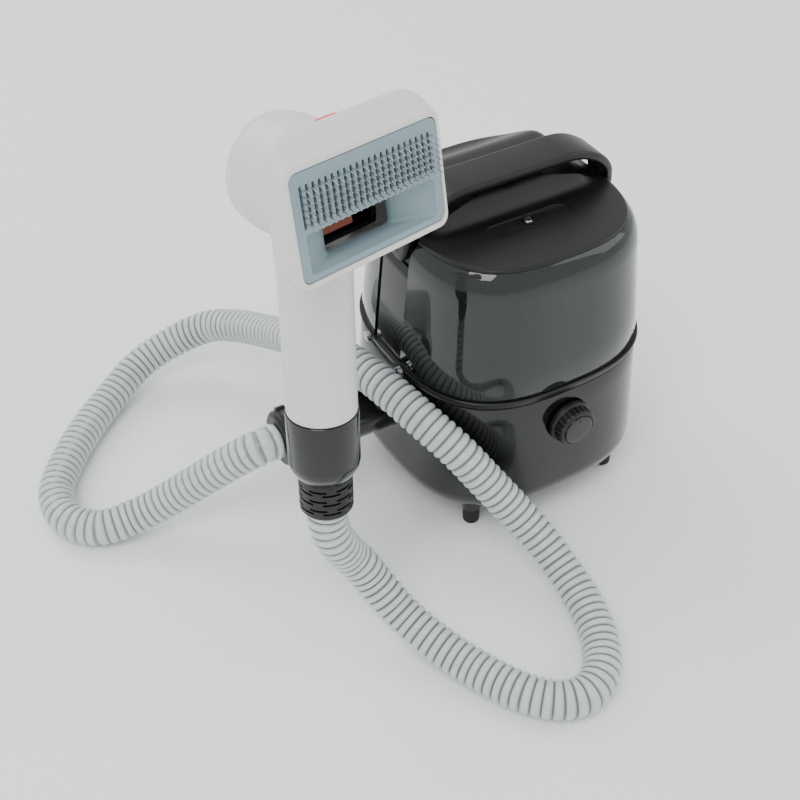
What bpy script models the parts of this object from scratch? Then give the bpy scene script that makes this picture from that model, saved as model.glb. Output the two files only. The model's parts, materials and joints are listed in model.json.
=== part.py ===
"""Pet grooming dryer and vacuum: a canister unit, a ribbed hose and a brush handset.

Lengths are in metres and +Z points up. The canister is modelled about its own upright centre line,
with its front toward -Y, and one root empty then puts the origin under the middle of the whole unit.
"""
import math

import bmesh
import bpy
from mathutils import Matrix, Vector

MM = 0.001
GAP = 0.3 * MM                 # clearance between pieces that touch
FIT = 0.5 * MM                 # clearance between pieces that turn or slide
CUT = 5 * MM                   # how far a cutter runs past the face it cuts

# canister plan: |x / half| ** power + |y / half| ** power = 1
PLAN_POWER = 2.83
RIM_HALF = 109.5 * MM          # half width at the seam between base and bin
PLAN_POINTS = 32

# base
BASE_TOP = 143 * MM
BASE_UNDERSIDE = 18 * MM
BASE_TAPER = 0.05              # the walls widen toward the floor
BASE_EDGE_RADIUS = 29 * MM
BASE_WALL = 2.8 * MM
DECK_THICKNESS = 3 * MM
AIR_EYE_RADIUS = 31 * MM       # suction eye through deck, bin collar and bin floor
FOOT_RADIUS = 7.7 * MM
FOOT_X = 72.5 * MM
FOOT_Y = 80 * MM
FOOT_HEIGHT = 17 * MM

# bin collar and dust bin
COLLAR_HEIGHT = 7.6 * MM
COLLAR_FLARE = 1.6 * MM
COLLAR_INNER_HALF = 88 * MM
BIN_WALL = 2.6 * MM
BIN_TAPER = 0.088
BIN_SHOULDER_START = 239 * MM
SEAM_Z = 267 * MM
SEAM_HALF = 92.1 * MM
NOTCH_LOW_Y = -17 * MM
NOTCH_HIGH_Y = 27 * MM
RISER_NOTCH_X = 92.8 * MM      # depth of the riser channel on the -X side
LEG_NOTCH_X = 88 * MM          # depth of the handle pockets on both sides
LEG_NOTCH_Z = 244 * MM

# riser duct and inlet
INLET_Y = 4.5 * MM
INLET_Z = 96.5 * MM
PIPE_RADIUS = 24 * MM
PIPE_WALL = 2.4 * MM
PIPE_END_X = -200 * MM
CONNECTOR_LENGTH = 16 * MM
CONNECTOR_RADIUS = 25 * MM
HOSE_RADIUS = 16 * MM
RISER_TOP = 240 * MM
RISER_WALL = 2 * MM
DUCT_LOW_Y = -12 * MM
DUCT_HIGH_Y = 21 * MM
DUCT_OUTER_X = -102.8 * MM
DUCT_INNER_X = -96 * MM

# lid and carry handle
LID_THICKNESS = 3 * MM
LID_FRONT_Z = 269.5 * MM
LID_RISE = 17 * MM
LID_SKIRT_DEPTH = 10 * MM
LID_SEAL_WIDTH = 2.4 * MM
LID_BUTTON_RADIUS = 3.6 * MM
LID_BUTTON_Y = -35 * MM
PIVOT_Z = 259 * MM
PIVOT_RADIUS = 3.5 * MM
EAR_THICKNESS = 3 * MM
HANDLE_OUTER_X = 102 * MM

# power train
MOTOR_RADIUS = 47 * MM
MOTOR_LOW_Z = 36 * MM
MOTOR_HIGH_Z = 90 * MM
SHAFT_RADIUS = 4 * MM
FAN_RADIUS = 43 * MM
FAN_BLADES = 7
SHROUD_RADIUS = 50 * MM

# knob
KNOB_Z = 112 * MM
KNOB_SKIRT_RADIUS = 20.3 * MM
KNOB_RING_RADIUS = 18.5 * MM
KNOB_CAP_RADIUS = 13.7 * MM
KNOB_DEPTH = 14 * MM
GRIP_COUNT = 8

# handset, in its own frame: origin on the tube's lower edge, Z up the tube, -Y out of the brush face
HANDSET_ORIGIN = (-232 * MM, -116 * MM, 235.4 * MM)
HANDSET_YAW = math.radians(14.9)
HANDSET_LEAN_BACK = math.radians(5.5)
HANDSET_LEAN_SIDE = math.radians(4.8)
TUBE_RADIUS = 26 * MM
TUBE_WALL = 2.4 * MM
COLLAR_LENGTH = 57 * MM
COLLAR_RADIUS = 27 * MM
CUFF_LENGTH = 32 * MM
CUFF_RADIUS = 20.5 * MM
CUFF_WALL = 2.5 * MM
BRUSH_Z = 184 * MM             # height of the brush face's centre
BRUSH_Y = -56 * MM
BRUSH_PITCH = math.radians(8.7)
PLATE_WIDTH = 124 * MM
PLATE_HEIGHT = 69 * MM
PLATE_CORNER = 6 * MM
HEAD_RIM = 3.4 * MM            # white rim left around the face plate
HEAD_WALL = 2.5 * MM
BARREL_RADIUS = 40.5 * MM
BARREL_Z = 176 * MM
BARREL_END_Y = 56 * MM
SLOT_COUNT = 22
SLOT_PITCH = 5.14 * MM
SLOT_WIDTH = 2.2 * MM
SLOT_LOW = -1.2 * MM
SLOT_HIGH = 26.2 * MM
PIN_ROWS = 4
PIN_SIZE = 0.9 * MM
PIN_REACH = 11 * MM
NOZZLE_WIDTH = 108 * MM
NOZZLE_LOW = -30 * MM
NOZZLE_HIGH = -4.5 * MM
NOZZLE_THROAT = 56 * MM
NOZZLE_DEPTH = 18 * MM
BUTTON_Y = -18 * MM
BUTTON_HALF_X = 8 * MM
BUTTON_HALF_Y = 5 * MM
BUTTON_TOP_Z = 226 * MM

# the bin stands on its collar, and the collar on the base
BIN_LOW = BASE_TOP + GAP + COLLAR_HEIGHT + GAP

# rear fittings and front vents
GRILLE_Z = 76 * MM
GRILLE_HALF_X = 36 * MM
GRILLE_HALF_Z = 15 * MM
SOCKET_X = 62 * MM
SOCKET_HALF_X = 13 * MM
SOCKET_HALF_Z = 9 * MM
VENT_COUNT = 6
VENT_FIRST_X = 6 * MM
VENT_PITCH = 5 * MM
VENT_Z = 30 * MM
VENT_HALF_Z = 3 * MM

# pleated filter
FILTER_RADIUS = 56 * MM
FILTER_LOW = 196 * MM
FILTER_HIGH = 236 * MM
FILTER_PLEATS = 24

# sizes of the lid that follow from the pieces it fits
LID_HALF = SEAM_HALF - GAP
SKIRT_HALF = SEAM_HALF - BIN_WALL - FIT
SEAL_FLOOR = LEG_NOTCH_X - BIN_WALL - GAP
SKIRT_FLOOR = SEAL_FLOOR - LID_SEAL_WIDTH - GAP
RECESS_DEPTH = 1.2 * MM
RECESS_HALF_X = 39 * MM
RECESS_HALF_Y = 10 * MM
SPRING_LOW = 255 * MM
SPRING_HIGH = 261 * MM
HANDLE_Y = -2 * MM

# handset pieces that fit in one another
TUBE_TOP = 150 * MM
CARRIER_Y = 6 * MM
NECK_RADIUS = 16.6 * MM
FLANGE_RADIUS = 18.8 * MM

# hose centre line in the canister's frame, from the handset cuff to the inlet connector
HOSE_ROUTE = [
    (-234, -130, 112), (-223, -129.5, 88), (-214, -134, 73), (-206, -143, 56),
    (-196, -163, 37), (-184, -191, 25), (-170, -221, 18), (-157, -248, 16.3), (-142, -273, 16.3),
    (-124, -289, 16.3), (-104, -294, 16.3), (-84, -285, 16.3), (-68, -265, 16.3), (-58, -241, 18),
    (-53, -213, 23), (-55, -186, 34), (-62, -162, 50), (-74, -139, 70), (-88, -120, 92),
    (-102, -101, 114), (-116, -76, 131), (-127, -46, 142), (-135, -17, 147), (-141, 15, 145),
    (-147, 60, 131), (-153, 105, 112), (-158, 145, 93), (-168, 184, 76), (-185, 216, 61),
    (-214, 234, 44), (-254, 236, 29), (-292, 217, 19), (-329, 189, 16.3), (-364, 152, 16.3),
    (-385, 119, 16.3), (-386, 86, 16.3), (-366, 62, 16.6), (-334, 53, 23), (-306, 43, 38),
    (-278, 29, 61), (-251, 14, 84),
]
HOSE_POINTS = 54


# ---------------------------------------------------------------- tools

def clear_scene():
    for obj in list(bpy.data.objects):
        bpy.data.objects.remove(obj, do_unlink=True)


def make_material(name, colour, roughness, metallic=0.0, transmission=0.0):
    mat = bpy.data.materials.new(name)
    mat.use_nodes = True
    shader = mat.node_tree.nodes["Principled BSDF"]
    shader.inputs["Base Color"].default_value = (*colour, 1.0)
    shader.inputs["Roughness"].default_value = roughness
    shader.inputs["Metallic"].default_value = metallic
    shader.inputs["Transmission Weight"].default_value = transmission
    mat.diffuse_color = (*colour, 1.0)
    return mat


def make_materials():
    return {
        "white_abs": make_material("white_abs", (0.84, 0.82, 0.79), 0.35),
        "blue_grey_abs": make_material("blue_grey_abs", (0.27, 0.37, 0.39), 0.4),
        "orange_abs": make_material("orange_abs", (0.95, 0.10, 0.04), 0.4),
        "gloss_black": make_material("gloss_black", (0.02, 0.02, 0.022), 0.12),
        "satin_black": make_material("satin_black", (0.012, 0.012, 0.013), 0.4),
        "smoke_clear": make_material("smoke_clear", (0.09, 0.11, 0.10), 0.06, 0.0, 0.8),
        "rubber_black": make_material("rubber_black", (0.02, 0.02, 0.02), 0.7),
        "filter_paper": make_material("filter_paper", (0.55, 0.55, 0.48), 0.9),
        "bright_steel": make_material("bright_steel", (0.6, 0.6, 0.6), 0.2, 1.0),
        "motor_steel": make_material("motor_steel", (0.35, 0.35, 0.36), 0.35, 1.0),
        "circuit_green": make_material("circuit_green", (0.02, 0.12, 0.05), 0.5),
        "hose_grey": make_material("hose_grey", (0.55, 0.60, 0.59), 0.3),
        "brown_abs": make_material("brown_abs", (0.25, 0.09, 0.04), 0.5),
    }


class Builder:
    """Adds named objects to the scene, each with its material and its parent."""

    def __init__(self):
        self.materials = make_materials()
        self.nodes = []

    def empty(self, name, parent=None, matrix=None):
        obj = bpy.data.objects.new(name, None)
        bpy.context.scene.collection.objects.link(obj)
        obj.empty_display_size = 0.02
        obj.parent = parent
        if matrix is not None:
            obj.matrix_local = matrix
        return obj

    def solid(self, name, bm, material, parent, origin=(0, 0, 0), cutter=False):
        """Link a closed mesh drawn in its parent's frame and put its origin at the given point."""
        bmesh.ops.remove_doubles(bm, verts=bm.verts, dist=1e-7)
        bmesh.ops.recalc_face_normals(bm, faces=bm.faces)
        if bm.calc_volume(signed=True) < 0:
            bmesh.ops.reverse_faces(bm, faces=bm.faces)
        bmesh.ops.translate(bm, verts=bm.verts, vec=-Vector(origin))
        mesh = bpy.data.meshes.new(name)
        bm.to_mesh(mesh)
        bm.free()
        mesh.shade_smooth()
        mesh.set_sharp_from_angle(angle=math.radians(32))
        obj = bpy.data.objects.new(name, mesh)
        bpy.context.scene.collection.objects.link(obj)
        obj.parent = parent
        obj.location = origin
        if cutter:
            obj.hide_render = True
            obj.display_type = "WIRE"
            return obj
        mesh.materials.append(self.materials[material])
        self.nodes.append(obj)
        return obj

    def boolean(self, target, bm, label, operation="DIFFERENCE"):
        """Cut, or join, one closed shape drawn in the target's parent frame."""
        tool = self.solid(target.name + "_" + label, bm, None, target.parent, cutter=True)
        modifier = target.modifiers.new(label, "BOOLEAN")
        modifier.solver = "EXACT"
        modifier.operation = operation
        modifier.object = tool
        return tool


def skin(rings, closed=False):
    """A solid through rings of equal point count: capped at both ends, or closed end to start."""
    bm = bmesh.new()
    loops = [[bm.verts.new(p) for p in ring] for ring in rings]
    count = len(loops[0])
    pairs = list(zip(loops, loops[1:]))
    if closed:
        pairs.append((loops[-1], loops[0]))
    for low, high in pairs:
        for i in range(count):
            j = (i + 1) % count
            bm.faces.new((low[i], low[j], high[j], high[i]))
    if not closed:
        bm.faces.new(list(reversed(loops[0])))
        bm.faces.new(loops[-1])
    return bm


def circle(radius, z, count=32, centre=(0.0, 0.0), phase=0.0):
    return [Vector((centre[0] + radius * math.cos(phase + 2 * math.pi * i / count),
                    centre[1] + radius * math.sin(phase + 2 * math.pi * i / count), z))
            for i in range(count)]


def turned(profile, count=32, closed=False, phase=0.0):
    """Turn (radius, height) pairs about Z."""
    return skin([circle(r, z, count, phase=phase) for r, z in profile], closed)


def box(low, high):
    bm = bmesh.new()
    bmesh.ops.create_cube(bm, size=1.0)
    low, high = Vector(low), Vector(high)
    for vert in bm.verts:
        vert.co = Vector((low[k] + (vert.co[k] + 0.5) * (high[k] - low[k]) for k in range(3)))
    return bm


def joined(*parts):
    """Several closed shapes that don't touch, in one mesh, for use as one cutter."""
    whole = bmesh.new()
    for part in parts:
        mesh = bpy.data.meshes.new("part")
        part.to_mesh(mesh)
        part.free()
        whole.from_mesh(mesh)
        bpy.data.meshes.remove(mesh)
    return whole


def moved(bm, matrix):
    bmesh.ops.transform(bm, matrix=matrix, verts=bm.verts)
    return bm


AXIS_X = Matrix.Rotation(math.radians(90), 4, "Y")      # takes +Z to +X
AXIS_FRONT = Matrix.Rotation(math.radians(90), 4, "X")  # takes +Z to -Y


def plan_radius(angle, half_x, half_y, power):
    across = abs(math.cos(angle)) / half_x
    along = abs(math.sin(angle)) / half_y
    return (across ** power + along ** power) ** (-1.0 / power)


def plan(half, z, power=PLAN_POWER):
    """The canister's rounded-square outline at one height."""
    points = []
    for i in range(PLAN_POINTS):
        angle = 2 * math.pi * (i + 0.5) / PLAN_POINTS
        r = plan_radius(angle, half, half, power)
        points.append(Vector((r * math.cos(angle), r * math.sin(angle), z)))
    return points


def plan_side_x(half, y, power=PLAN_POWER):
    """Half width of the outline at one y."""
    return half * (1 - min(1.0, abs(y / half)) ** power) ** (1.0 / power)


def notched_plan(half, z, floor_left, floor_right, low=NOTCH_LOW_Y, high=NOTCH_HIGH_Y):
    """The outline with a square notch let into each side between y = low and y = high."""
    def notch(sign, floor, first, last):
        edges = [plan_side_x(half, first), plan_side_x(half, last)]
        depth = min(floor, min(edges) - GAP)
        return [(sign * edges[0], first), (sign * depth, first),
                (sign * depth, last), (sign * edges[1], last)]

    def sweep(start, stop):
        begin = math.atan2(start[1], start[0])
        end = math.atan2(stop[1], stop[0])
        if end < begin:
            end += 2 * math.pi
        steps = PLAN_POINTS // 2 - 4
        angles = [begin + (end - begin) * i / steps for i in range(1, steps)]
        radii = [plan_radius(angle, half, half, PLAN_POWER) for angle in angles]
        return [(r * math.cos(angle), r * math.sin(angle)) for r, angle in zip(radii, angles)]

    right = notch(1, floor_right, low, high)
    left = notch(-1, floor_left, high, low)
    outline = right + sweep(right[-1], left[0]) + left + sweep(left[-1], right[0])
    return [Vector((x, y, z)) for x, y in outline]


def rounded_rect(half_x, half_y, radius, z, steps=4, centre=(0.0, 0.0)):
    points = []
    for quarter in range(4):
        cx = centre[0] + (half_x - radius) * (1 if quarter in (0, 3) else -1)
        cy = centre[1] + (half_y - radius) * (1 if quarter in (0, 1) else -1)
        for i in range(steps + 1):
            angle = math.pi / 2 * (quarter + i / steps)
            points.append(Vector((cx + radius * math.cos(angle), cy + radius * math.sin(angle), z)))
    return points


def smooth_step(value, start, end):
    t = max(0.0, min(1.0, (value - start) / (end - start)))
    return t * t * (3 - 2 * t)


# ---------------------------------------------------------------- canister sizes that depend on height

def base_half(z):
    """Half width of the base at one height, rounded in below."""
    bend = BASE_UNDERSIDE + BASE_EDGE_RADIUS
    wall = RIM_HALF + BASE_TAPER * (BASE_TOP - max(z, bend))
    if z >= bend:
        return wall
    drop = min(1.0, (bend - z) / BASE_EDGE_RADIUS)
    return wall - BASE_EDGE_RADIUS * (1 - math.sqrt(max(0.0, 1 - drop * drop)))


def bin_half(z):
    """Half width of the bin at one height: a tapering wall and a round shoulder."""
    wall = RIM_HALF - BIN_TAPER * (min(z, BIN_SHOULDER_START) - BIN_LOW)
    if z <= BIN_SHOULDER_START:
        return wall
    turn = math.radians(75)
    rise = (SEAM_Z - BIN_SHOULDER_START) / math.sin(turn)
    angle = math.asin(min(1.0, (z - BIN_SHOULDER_START) / rise))
    return wall - (wall - SEAM_HALF) * (1 - math.cos(angle)) / (1 - math.cos(turn))


def lid_height(x, y, half):
    """Top surface of the lid: flat in front, swept up to a plateau under the handle."""
    rise = smooth_step(y, -0.24 * half, -0.01 * half)
    side = 1 - smooth_step(abs(x), 0.70 * half, 0.97 * half)
    rear = 1 - smooth_step(y, 0.52 * half, 0.96 * half)
    return LID_FRONT_Z + LID_RISE * rise * side * rear


# ---------------------------------------------------------------- base unit

def build_base_housing(b, root):
    deck_under = BASE_TOP - DECK_THICKNESS
    bend = BASE_UNDERSIDE + BASE_EDGE_RADIUS
    levels = [BASE_UNDERSIDE + BASE_EDGE_RADIUS * (1 - math.cos(math.radians(a))) for a in (28, 50, 70)]
    outer = [plan(base_half(z), z) for z in [BASE_TOP, bend] + list(reversed(levels))]
    opening = base_half(levels[0]) - 12 * MM
    rings = [circle_like(AIR_EYE_RADIUS, BASE_TOP)] + outer
    rings.append(plan(opening, BASE_UNDERSIDE))
    rings.append(plan(opening, BASE_UNDERSIDE + BASE_WALL))
    for z in levels[1:] + [bend]:
        rings.append(plan(base_half(z) - BASE_WALL, z + 0.4 * BASE_WALL))
    rings.append(plan(base_half(deck_under) - BASE_WALL, deck_under))
    rings.append(circle_like(AIR_EYE_RADIUS, deck_under))
    housing = b.solid("base_housing", skin(rings, closed=True), "gloss_black", root)

    wall = base_half(INLET_Z)
    pipe_hole = turned([(PIPE_RADIUS + GAP, -CUT), (PIPE_RADIUS + GAP, 2 * CUT)], 24)
    b.boolean(housing, moved(pipe_hole, Matrix.Translation((-wall, INLET_Y, INLET_Z)) @ AXIS_X), "pipe_hole")
    b.boolean(housing, box((DUCT_OUTER_X, DUCT_LOW_Y, deck_under - CUT),
                           (DUCT_INNER_X, DUCT_HIGH_Y, BASE_TOP + CUT)), "duct_slot")
    front = base_half(KNOB_Z)
    knob_hole = turned([(SHAFT_RADIUS + FIT, -CUT), (SHAFT_RADIUS + FIT, 2 * CUT)], 16)
    place = Matrix.Translation((0, -front + CUT, KNOB_Z)) @ AXIS_FRONT
    b.boolean(housing, moved(knob_hole, place), "knob_hole")
    rear = base_half(GRILLE_Z)
    b.boolean(housing, box((-GRILLE_HALF_X, rear - 4 * CUT, GRILLE_Z - GRILLE_HALF_Z),
                           (GRILLE_HALF_X, rear + CUT, GRILLE_Z + GRILLE_HALF_Z)), "rear_window")
    b.boolean(housing, box((SOCKET_X - SOCKET_HALF_X, rear - 6 * CUT, GRILLE_Z - SOCKET_HALF_Z),
                           (SOCKET_X + SOCKET_HALF_X, rear + CUT, GRILLE_Z + SOCKET_HALF_Z)), "socket_window")
    slots = []
    for i in range(VENT_COUNT):
        x = VENT_FIRST_X + i * VENT_PITCH
        slots.append(box((x, -base_half(VENT_Z) - CUT, VENT_Z - VENT_HALF_Z),
                         (x + VENT_PITCH / 2, -base_half(VENT_Z) + 5 * CUT, VENT_Z + VENT_HALF_Z)))
    b.boolean(housing, joined(*slots), "front_vents")
    for name, x, y in foot_places():
        boss = turned([(FOOT_RADIUS + 0.6 * MM, FOOT_HEIGHT), (FOOT_RADIUS + 0.6 * MM, 44 * MM)], 16)
        b.boolean(housing, moved(boss, Matrix.Translation((x, y, 0))), name + "_boss", "UNION")
    return housing


def circle_like(radius, z):
    """A circle with the same point spacing as the canister's outline."""
    return circle(radius, z, PLAN_POINTS, phase=math.pi / PLAN_POINTS)


def foot_places():
    return [("foot_" + end + "_" + side, sx * FOOT_X, sy * FOOT_Y)
            for end, sy in (("front", -1), ("rear", 1))
            for side, sx in (("left", -1), ("right", 1))]


def build_feet(b, root):
    for name, x, y in foot_places():
        top = FOOT_HEIGHT - GAP
        foot = turned([(FOOT_RADIUS - 1.6 * MM, 0), (FOOT_RADIUS - 0.4 * MM, 1.6 * MM),
                       (FOOT_RADIUS, top)], 20)
        b.solid(name, moved(foot, Matrix.Translation((x, y, 0))), "rubber_black", root)


def build_base_plate(b, root):
    opening = base_half(BASE_UNDERSIDE + BASE_EDGE_RADIUS * (1 - math.cos(math.radians(28)))) - 12 * MM
    half = opening - GAP
    plate = b.solid("base_plate", skin([plan(half, BASE_UNDERSIDE), plan(half, BASE_UNDERSIDE + BASE_WALL)]),
                    "satin_black", root)
    slots = []
    for i in range(5):
        y = (i - 2) * 9 * MM
        slots.append(box((-18 * MM, y - 2 * MM, BASE_UNDERSIDE - CUT),
                         (18 * MM, y + 2 * MM, BASE_UNDERSIDE + BASE_WALL + CUT)))
    b.boolean(plate, joined(*slots), "air_slots")


def build_power_train(b, root):
    low = BASE_UNDERSIDE + BASE_WALL + GAP
    b.solid("motor_mount", turned([(34 * MM, low), (50 * MM, low), (50 * MM, MOTOR_LOW_Z - GAP),
                                   (34 * MM, MOTOR_LOW_Z - GAP)], 32, closed=True), "rubber_black", root)
    motor = [(MOTOR_RADIUS - 3 * MM, MOTOR_LOW_Z), (MOTOR_RADIUS, MOTOR_LOW_Z + 3 * MM),
             (MOTOR_RADIUS, MOTOR_HIGH_Z - 3 * MM), (MOTOR_RADIUS - 3 * MM, MOTOR_HIGH_Z),
             (SHAFT_RADIUS + FIT, MOTOR_HIGH_Z), (SHAFT_RADIUS + FIT, MOTOR_HIGH_Z - 12 * MM)]
    b.solid("motor", turned(motor, 24), "motor_steel", root)
    shaft_low = MOTOR_HIGH_Z - 11 * MM
    shaft_high = BASE_TOP - 14 * MM
    b.solid("motor_shaft", turned([(SHAFT_RADIUS, shaft_low), (SHAFT_RADIUS, shaft_high)], 16),
            "bright_steel", root, origin=(0, 0, shaft_low))
    fan_low = MOTOR_HIGH_Z + 8 * MM
    hub_top = fan_low + 18 * MM
    bore = SHAFT_RADIUS + GAP
    disc = [(bore, fan_low), (FAN_RADIUS, fan_low), (FAN_RADIUS, fan_low + 2 * MM),
            (10 * MM, fan_low + 3 * MM), (9 * MM, hub_top), (bore, hub_top)]
    fan = b.solid("fan_impeller", turned(disc, 24, closed=True), "white_abs", root, origin=(0, 0, fan_low))
    blades = []
    for i in range(FAN_BLADES):
        blade = box((13 * MM, -0.8 * MM, fan_low + 1 * MM), (FAN_RADIUS - 1 * MM, 0.8 * MM, hub_top - 3 * MM))
        turn = Matrix.Rotation(2 * math.pi * i / FAN_BLADES, 4, "Z") @ \
            Matrix.Translation((13 * MM, 0, 0)) @ Matrix.Rotation(math.radians(28), 4, "Z") @ \
            Matrix.Translation((-13 * MM, 0, 0))
        blades.append(moved(blade, turn))
    b.boolean(fan, joined(*blades), "blades", "UNION")
    wall = 2 * MM
    top = BASE_TOP - DECK_THICKNESS - GAP
    eye = AIR_EYE_RADIUS - 3 * MM
    shroud = [(eye, top), (SHROUD_RADIUS, top), (SHROUD_RADIUS, MOTOR_HIGH_Z + 4 * MM),
              (SHROUD_RADIUS - wall, MOTOR_HIGH_Z + 4 * MM), (SHROUD_RADIUS - wall, top - wall),
              (eye, top - wall)]
    b.solid("fan_shroud", turned(shroud, 24, closed=True), "satin_black", root)


def build_controls(b, root):
    front = base_half(KNOB_Z)
    board_y = -front + 17 * MM
    b.solid("control_board", box((-30 * MM, board_y, KNOB_Z - 22 * MM), (30 * MM, board_y + 1.6 * MM,
                                                                       KNOB_Z + 22 * MM)), "circuit_green", root)
    body = [(9 * MM, 0), (9 * MM, 10 * MM), (SHAFT_RADIUS - 1 * MM, 10 * MM), (SHAFT_RADIUS - 1 * MM, 23 * MM)]
    place = Matrix.Translation((0, board_y - GAP, KNOB_Z)) @ AXIS_FRONT
    b.solid("knob_switch", moved(turned(body, 16), place), "motor_steel", root)
    skin_y = -base_half(KNOB_Z - KNOB_SKIRT_RADIUS) - FIT
    knob = [(KNOB_SKIRT_RADIUS, 0), (KNOB_SKIRT_RADIUS - 0.4 * MM, 4 * MM), (KNOB_RING_RADIUS, 4.6 * MM),
            (KNOB_RING_RADIUS - 0.5 * MM, KNOB_DEPTH - 1.5 * MM), (KNOB_RING_RADIUS - 2 * MM, KNOB_DEPTH),
            (KNOB_CAP_RADIUS + GAP, KNOB_DEPTH), (KNOB_CAP_RADIUS + GAP, KNOB_DEPTH - 2 * MM),
            (SHAFT_RADIUS + 2 * MM, KNOB_DEPTH - 2 * MM), (SHAFT_RADIUS + 2 * MM, 0)]
    origin = (0, skin_y, KNOB_Z)
    place = Matrix.Translation(origin) @ AXIS_FRONT
    ring = turned(knob, 28, closed=True)
    knob_obj = b.solid("control_knob", moved(ring, place), "satin_black", root, origin=origin)
    grips = []
    for i in range(GRIP_COUNT):
        groove = box((KNOB_RING_RADIUS - 0.7 * MM, -1.2 * MM, 6 * MM), (KNOB_RING_RADIUS + 3 * MM, 1.2 * MM,
                                                                      KNOB_DEPTH + 1 * MM))
        grips.append(moved(groove, place @ Matrix.Rotation(2 * math.pi * (i + 0.5) / GRIP_COUNT, 4, "Z")))
    b.boolean(knob_obj, joined(*grips), "grips")
    cap = [(KNOB_CAP_RADIUS, KNOB_DEPTH - 2 * MM + GAP), (KNOB_CAP_RADIUS, KNOB_DEPTH + 0.4 * MM),
           (KNOB_CAP_RADIUS - 1 * MM, KNOB_DEPTH + 1.2 * MM)]
    b.solid("knob_cap", moved(turned(cap, 32), place), "gloss_black", root, origin=origin)


def build_rear_fittings(b, root):
    rear = base_half(GRILLE_Z)
    low = (-GRILLE_HALF_X + GAP, rear - 4 * MM, GRILLE_Z - GRILLE_HALF_Z + GAP)
    high = (GRILLE_HALF_X - GAP, rear - 0.8 * MM, GRILLE_Z + GRILLE_HALF_Z - GAP)
    grille = b.solid("exhaust_grille", box(low, high), "satin_black", root)
    slots = []
    for i in range(5):
        z = GRILLE_Z + (i - 2) * 5 * MM
        slots.append(box((-GRILLE_HALF_X + 5 * MM, rear - 2 * CUT, z - 1.2 * MM),
                         (GRILLE_HALF_X - 5 * MM, rear + CUT, z + 1.2 * MM)))
    b.boolean(grille, joined(*slots), "louvres")
    filter_low = (-GRILLE_HALF_X - 2 * MM, rear - 18 * MM, GRILLE_Z - GRILLE_HALF_Z)
    filter_high = (GRILLE_HALF_X + 2 * MM, rear - 8 * MM, GRILLE_Z + GRILLE_HALF_Z)
    b.solid("exhaust_filter", box(filter_low, filter_high), "filter_paper", root)
    side = rear - 9 * MM
    socket = b.solid("mains_inlet", box((SOCKET_X - SOCKET_HALF_X + GAP, side - 18 * MM,
                                         GRILLE_Z - SOCKET_HALF_Z + GAP),
                                        (SOCKET_X + SOCKET_HALF_X - GAP, side + 3 * MM,
                                         GRILLE_Z + SOCKET_HALF_Z - GAP)), "satin_black", root)
    b.boolean(socket, box((SOCKET_X - SOCKET_HALF_X + 4 * MM, side - 8 * MM, GRILLE_Z - SOCKET_HALF_Z + 3 * MM),
                          (SOCKET_X + SOCKET_HALF_X - 4 * MM, side + 2 * CUT,
                           GRILLE_Z + SOCKET_HALF_Z - 3 * MM)), "socket_well")


def build_inlet(b, root):
    reach = PIPE_RADIUS + 1.5 * MM
    y_low, y_high = INLET_Y - reach, INLET_Y + reach
    x_low = -plan_side_x(base_half(BASE_TOP) - BASE_WALL, y_high) + GAP
    inner_end = x_low - GAP
    pipe = [(PIPE_RADIUS, PIPE_END_X + GAP), (PIPE_RADIUS, inner_end),
            (PIPE_RADIUS - PIPE_WALL, inner_end), (PIPE_RADIUS - PIPE_WALL, PIPE_END_X + GAP)]
    place = Matrix.Translation((0, INLET_Y, INLET_Z)) @ AXIS_X
    b.solid("inlet_pipe", moved(turned(pipe, 24, closed=True), place), "satin_black", root)

    # chamber inside the base that turns the air up into the riser
    x_high = x_low + 26 * MM
    z_low, z_high = INLET_Z - reach, BASE_TOP - DECK_THICKNESS - GAP
    chamber = b.solid("inlet_chamber", box((x_low, y_low, z_low), (x_high, y_high, z_high)),
                      "satin_black", root)
    t = 2 * MM
    b.boolean(chamber, box((x_low + t, y_low + t, z_low + t), (x_high - t, y_high - t, z_high - t)), "hollow")
    bore = turned([(PIPE_RADIUS - PIPE_WALL, x_low - CUT), (PIPE_RADIUS - PIPE_WALL, x_low + CUT)], 24)
    b.boolean(chamber, moved(bore, place), "inlet_hole")
    b.boolean(chamber, box((DUCT_OUTER_X, DUCT_LOW_Y, z_high - CUT), (DUCT_INNER_X, DUCT_HIGH_Y, z_high + CUT)),
              "riser_hole")

    # push-fit connector on the pipe's outer end, with the hose's seat in it
    start = PIPE_END_X - CONNECTOR_LENGTH
    ring = [(HOSE_RADIUS - 2.4 * MM, start), (CONNECTOR_RADIUS - 3 * MM, start),
            (CONNECTOR_RADIUS, start + 3 * MM), (CONNECTOR_RADIUS, PIPE_END_X),
            (PIPE_RADIUS - PIPE_WALL - FIT, PIPE_END_X), (PIPE_RADIUS - PIPE_WALL - FIT, PIPE_END_X + 14 * MM),
            (HOSE_RADIUS - 2.4 * MM, PIPE_END_X + 14 * MM)]
    origin = (start, INLET_Y, INLET_Z)
    connector = b.solid("hose_connector", moved(turned(ring, 24, closed=True), place), "satin_black", root,
                        origin=origin)
    lugs = []
    for angle in (35, 145, 215, 325):
        lug = box((CONNECTOR_RADIUS - 1 * MM, -3 * MM, start + 6 * MM), (CONNECTOR_RADIUS + 2 * MM, 3 * MM,
                                                                       PIPE_END_X - 2 * MM))
        lugs.append(moved(lug, place @ Matrix.Rotation(math.radians(angle), 4, "Z")))
    b.boolean(connector, joined(*lugs), "lugs", "UNION")


# ---------------------------------------------------------------- bin, filter, riser

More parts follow.
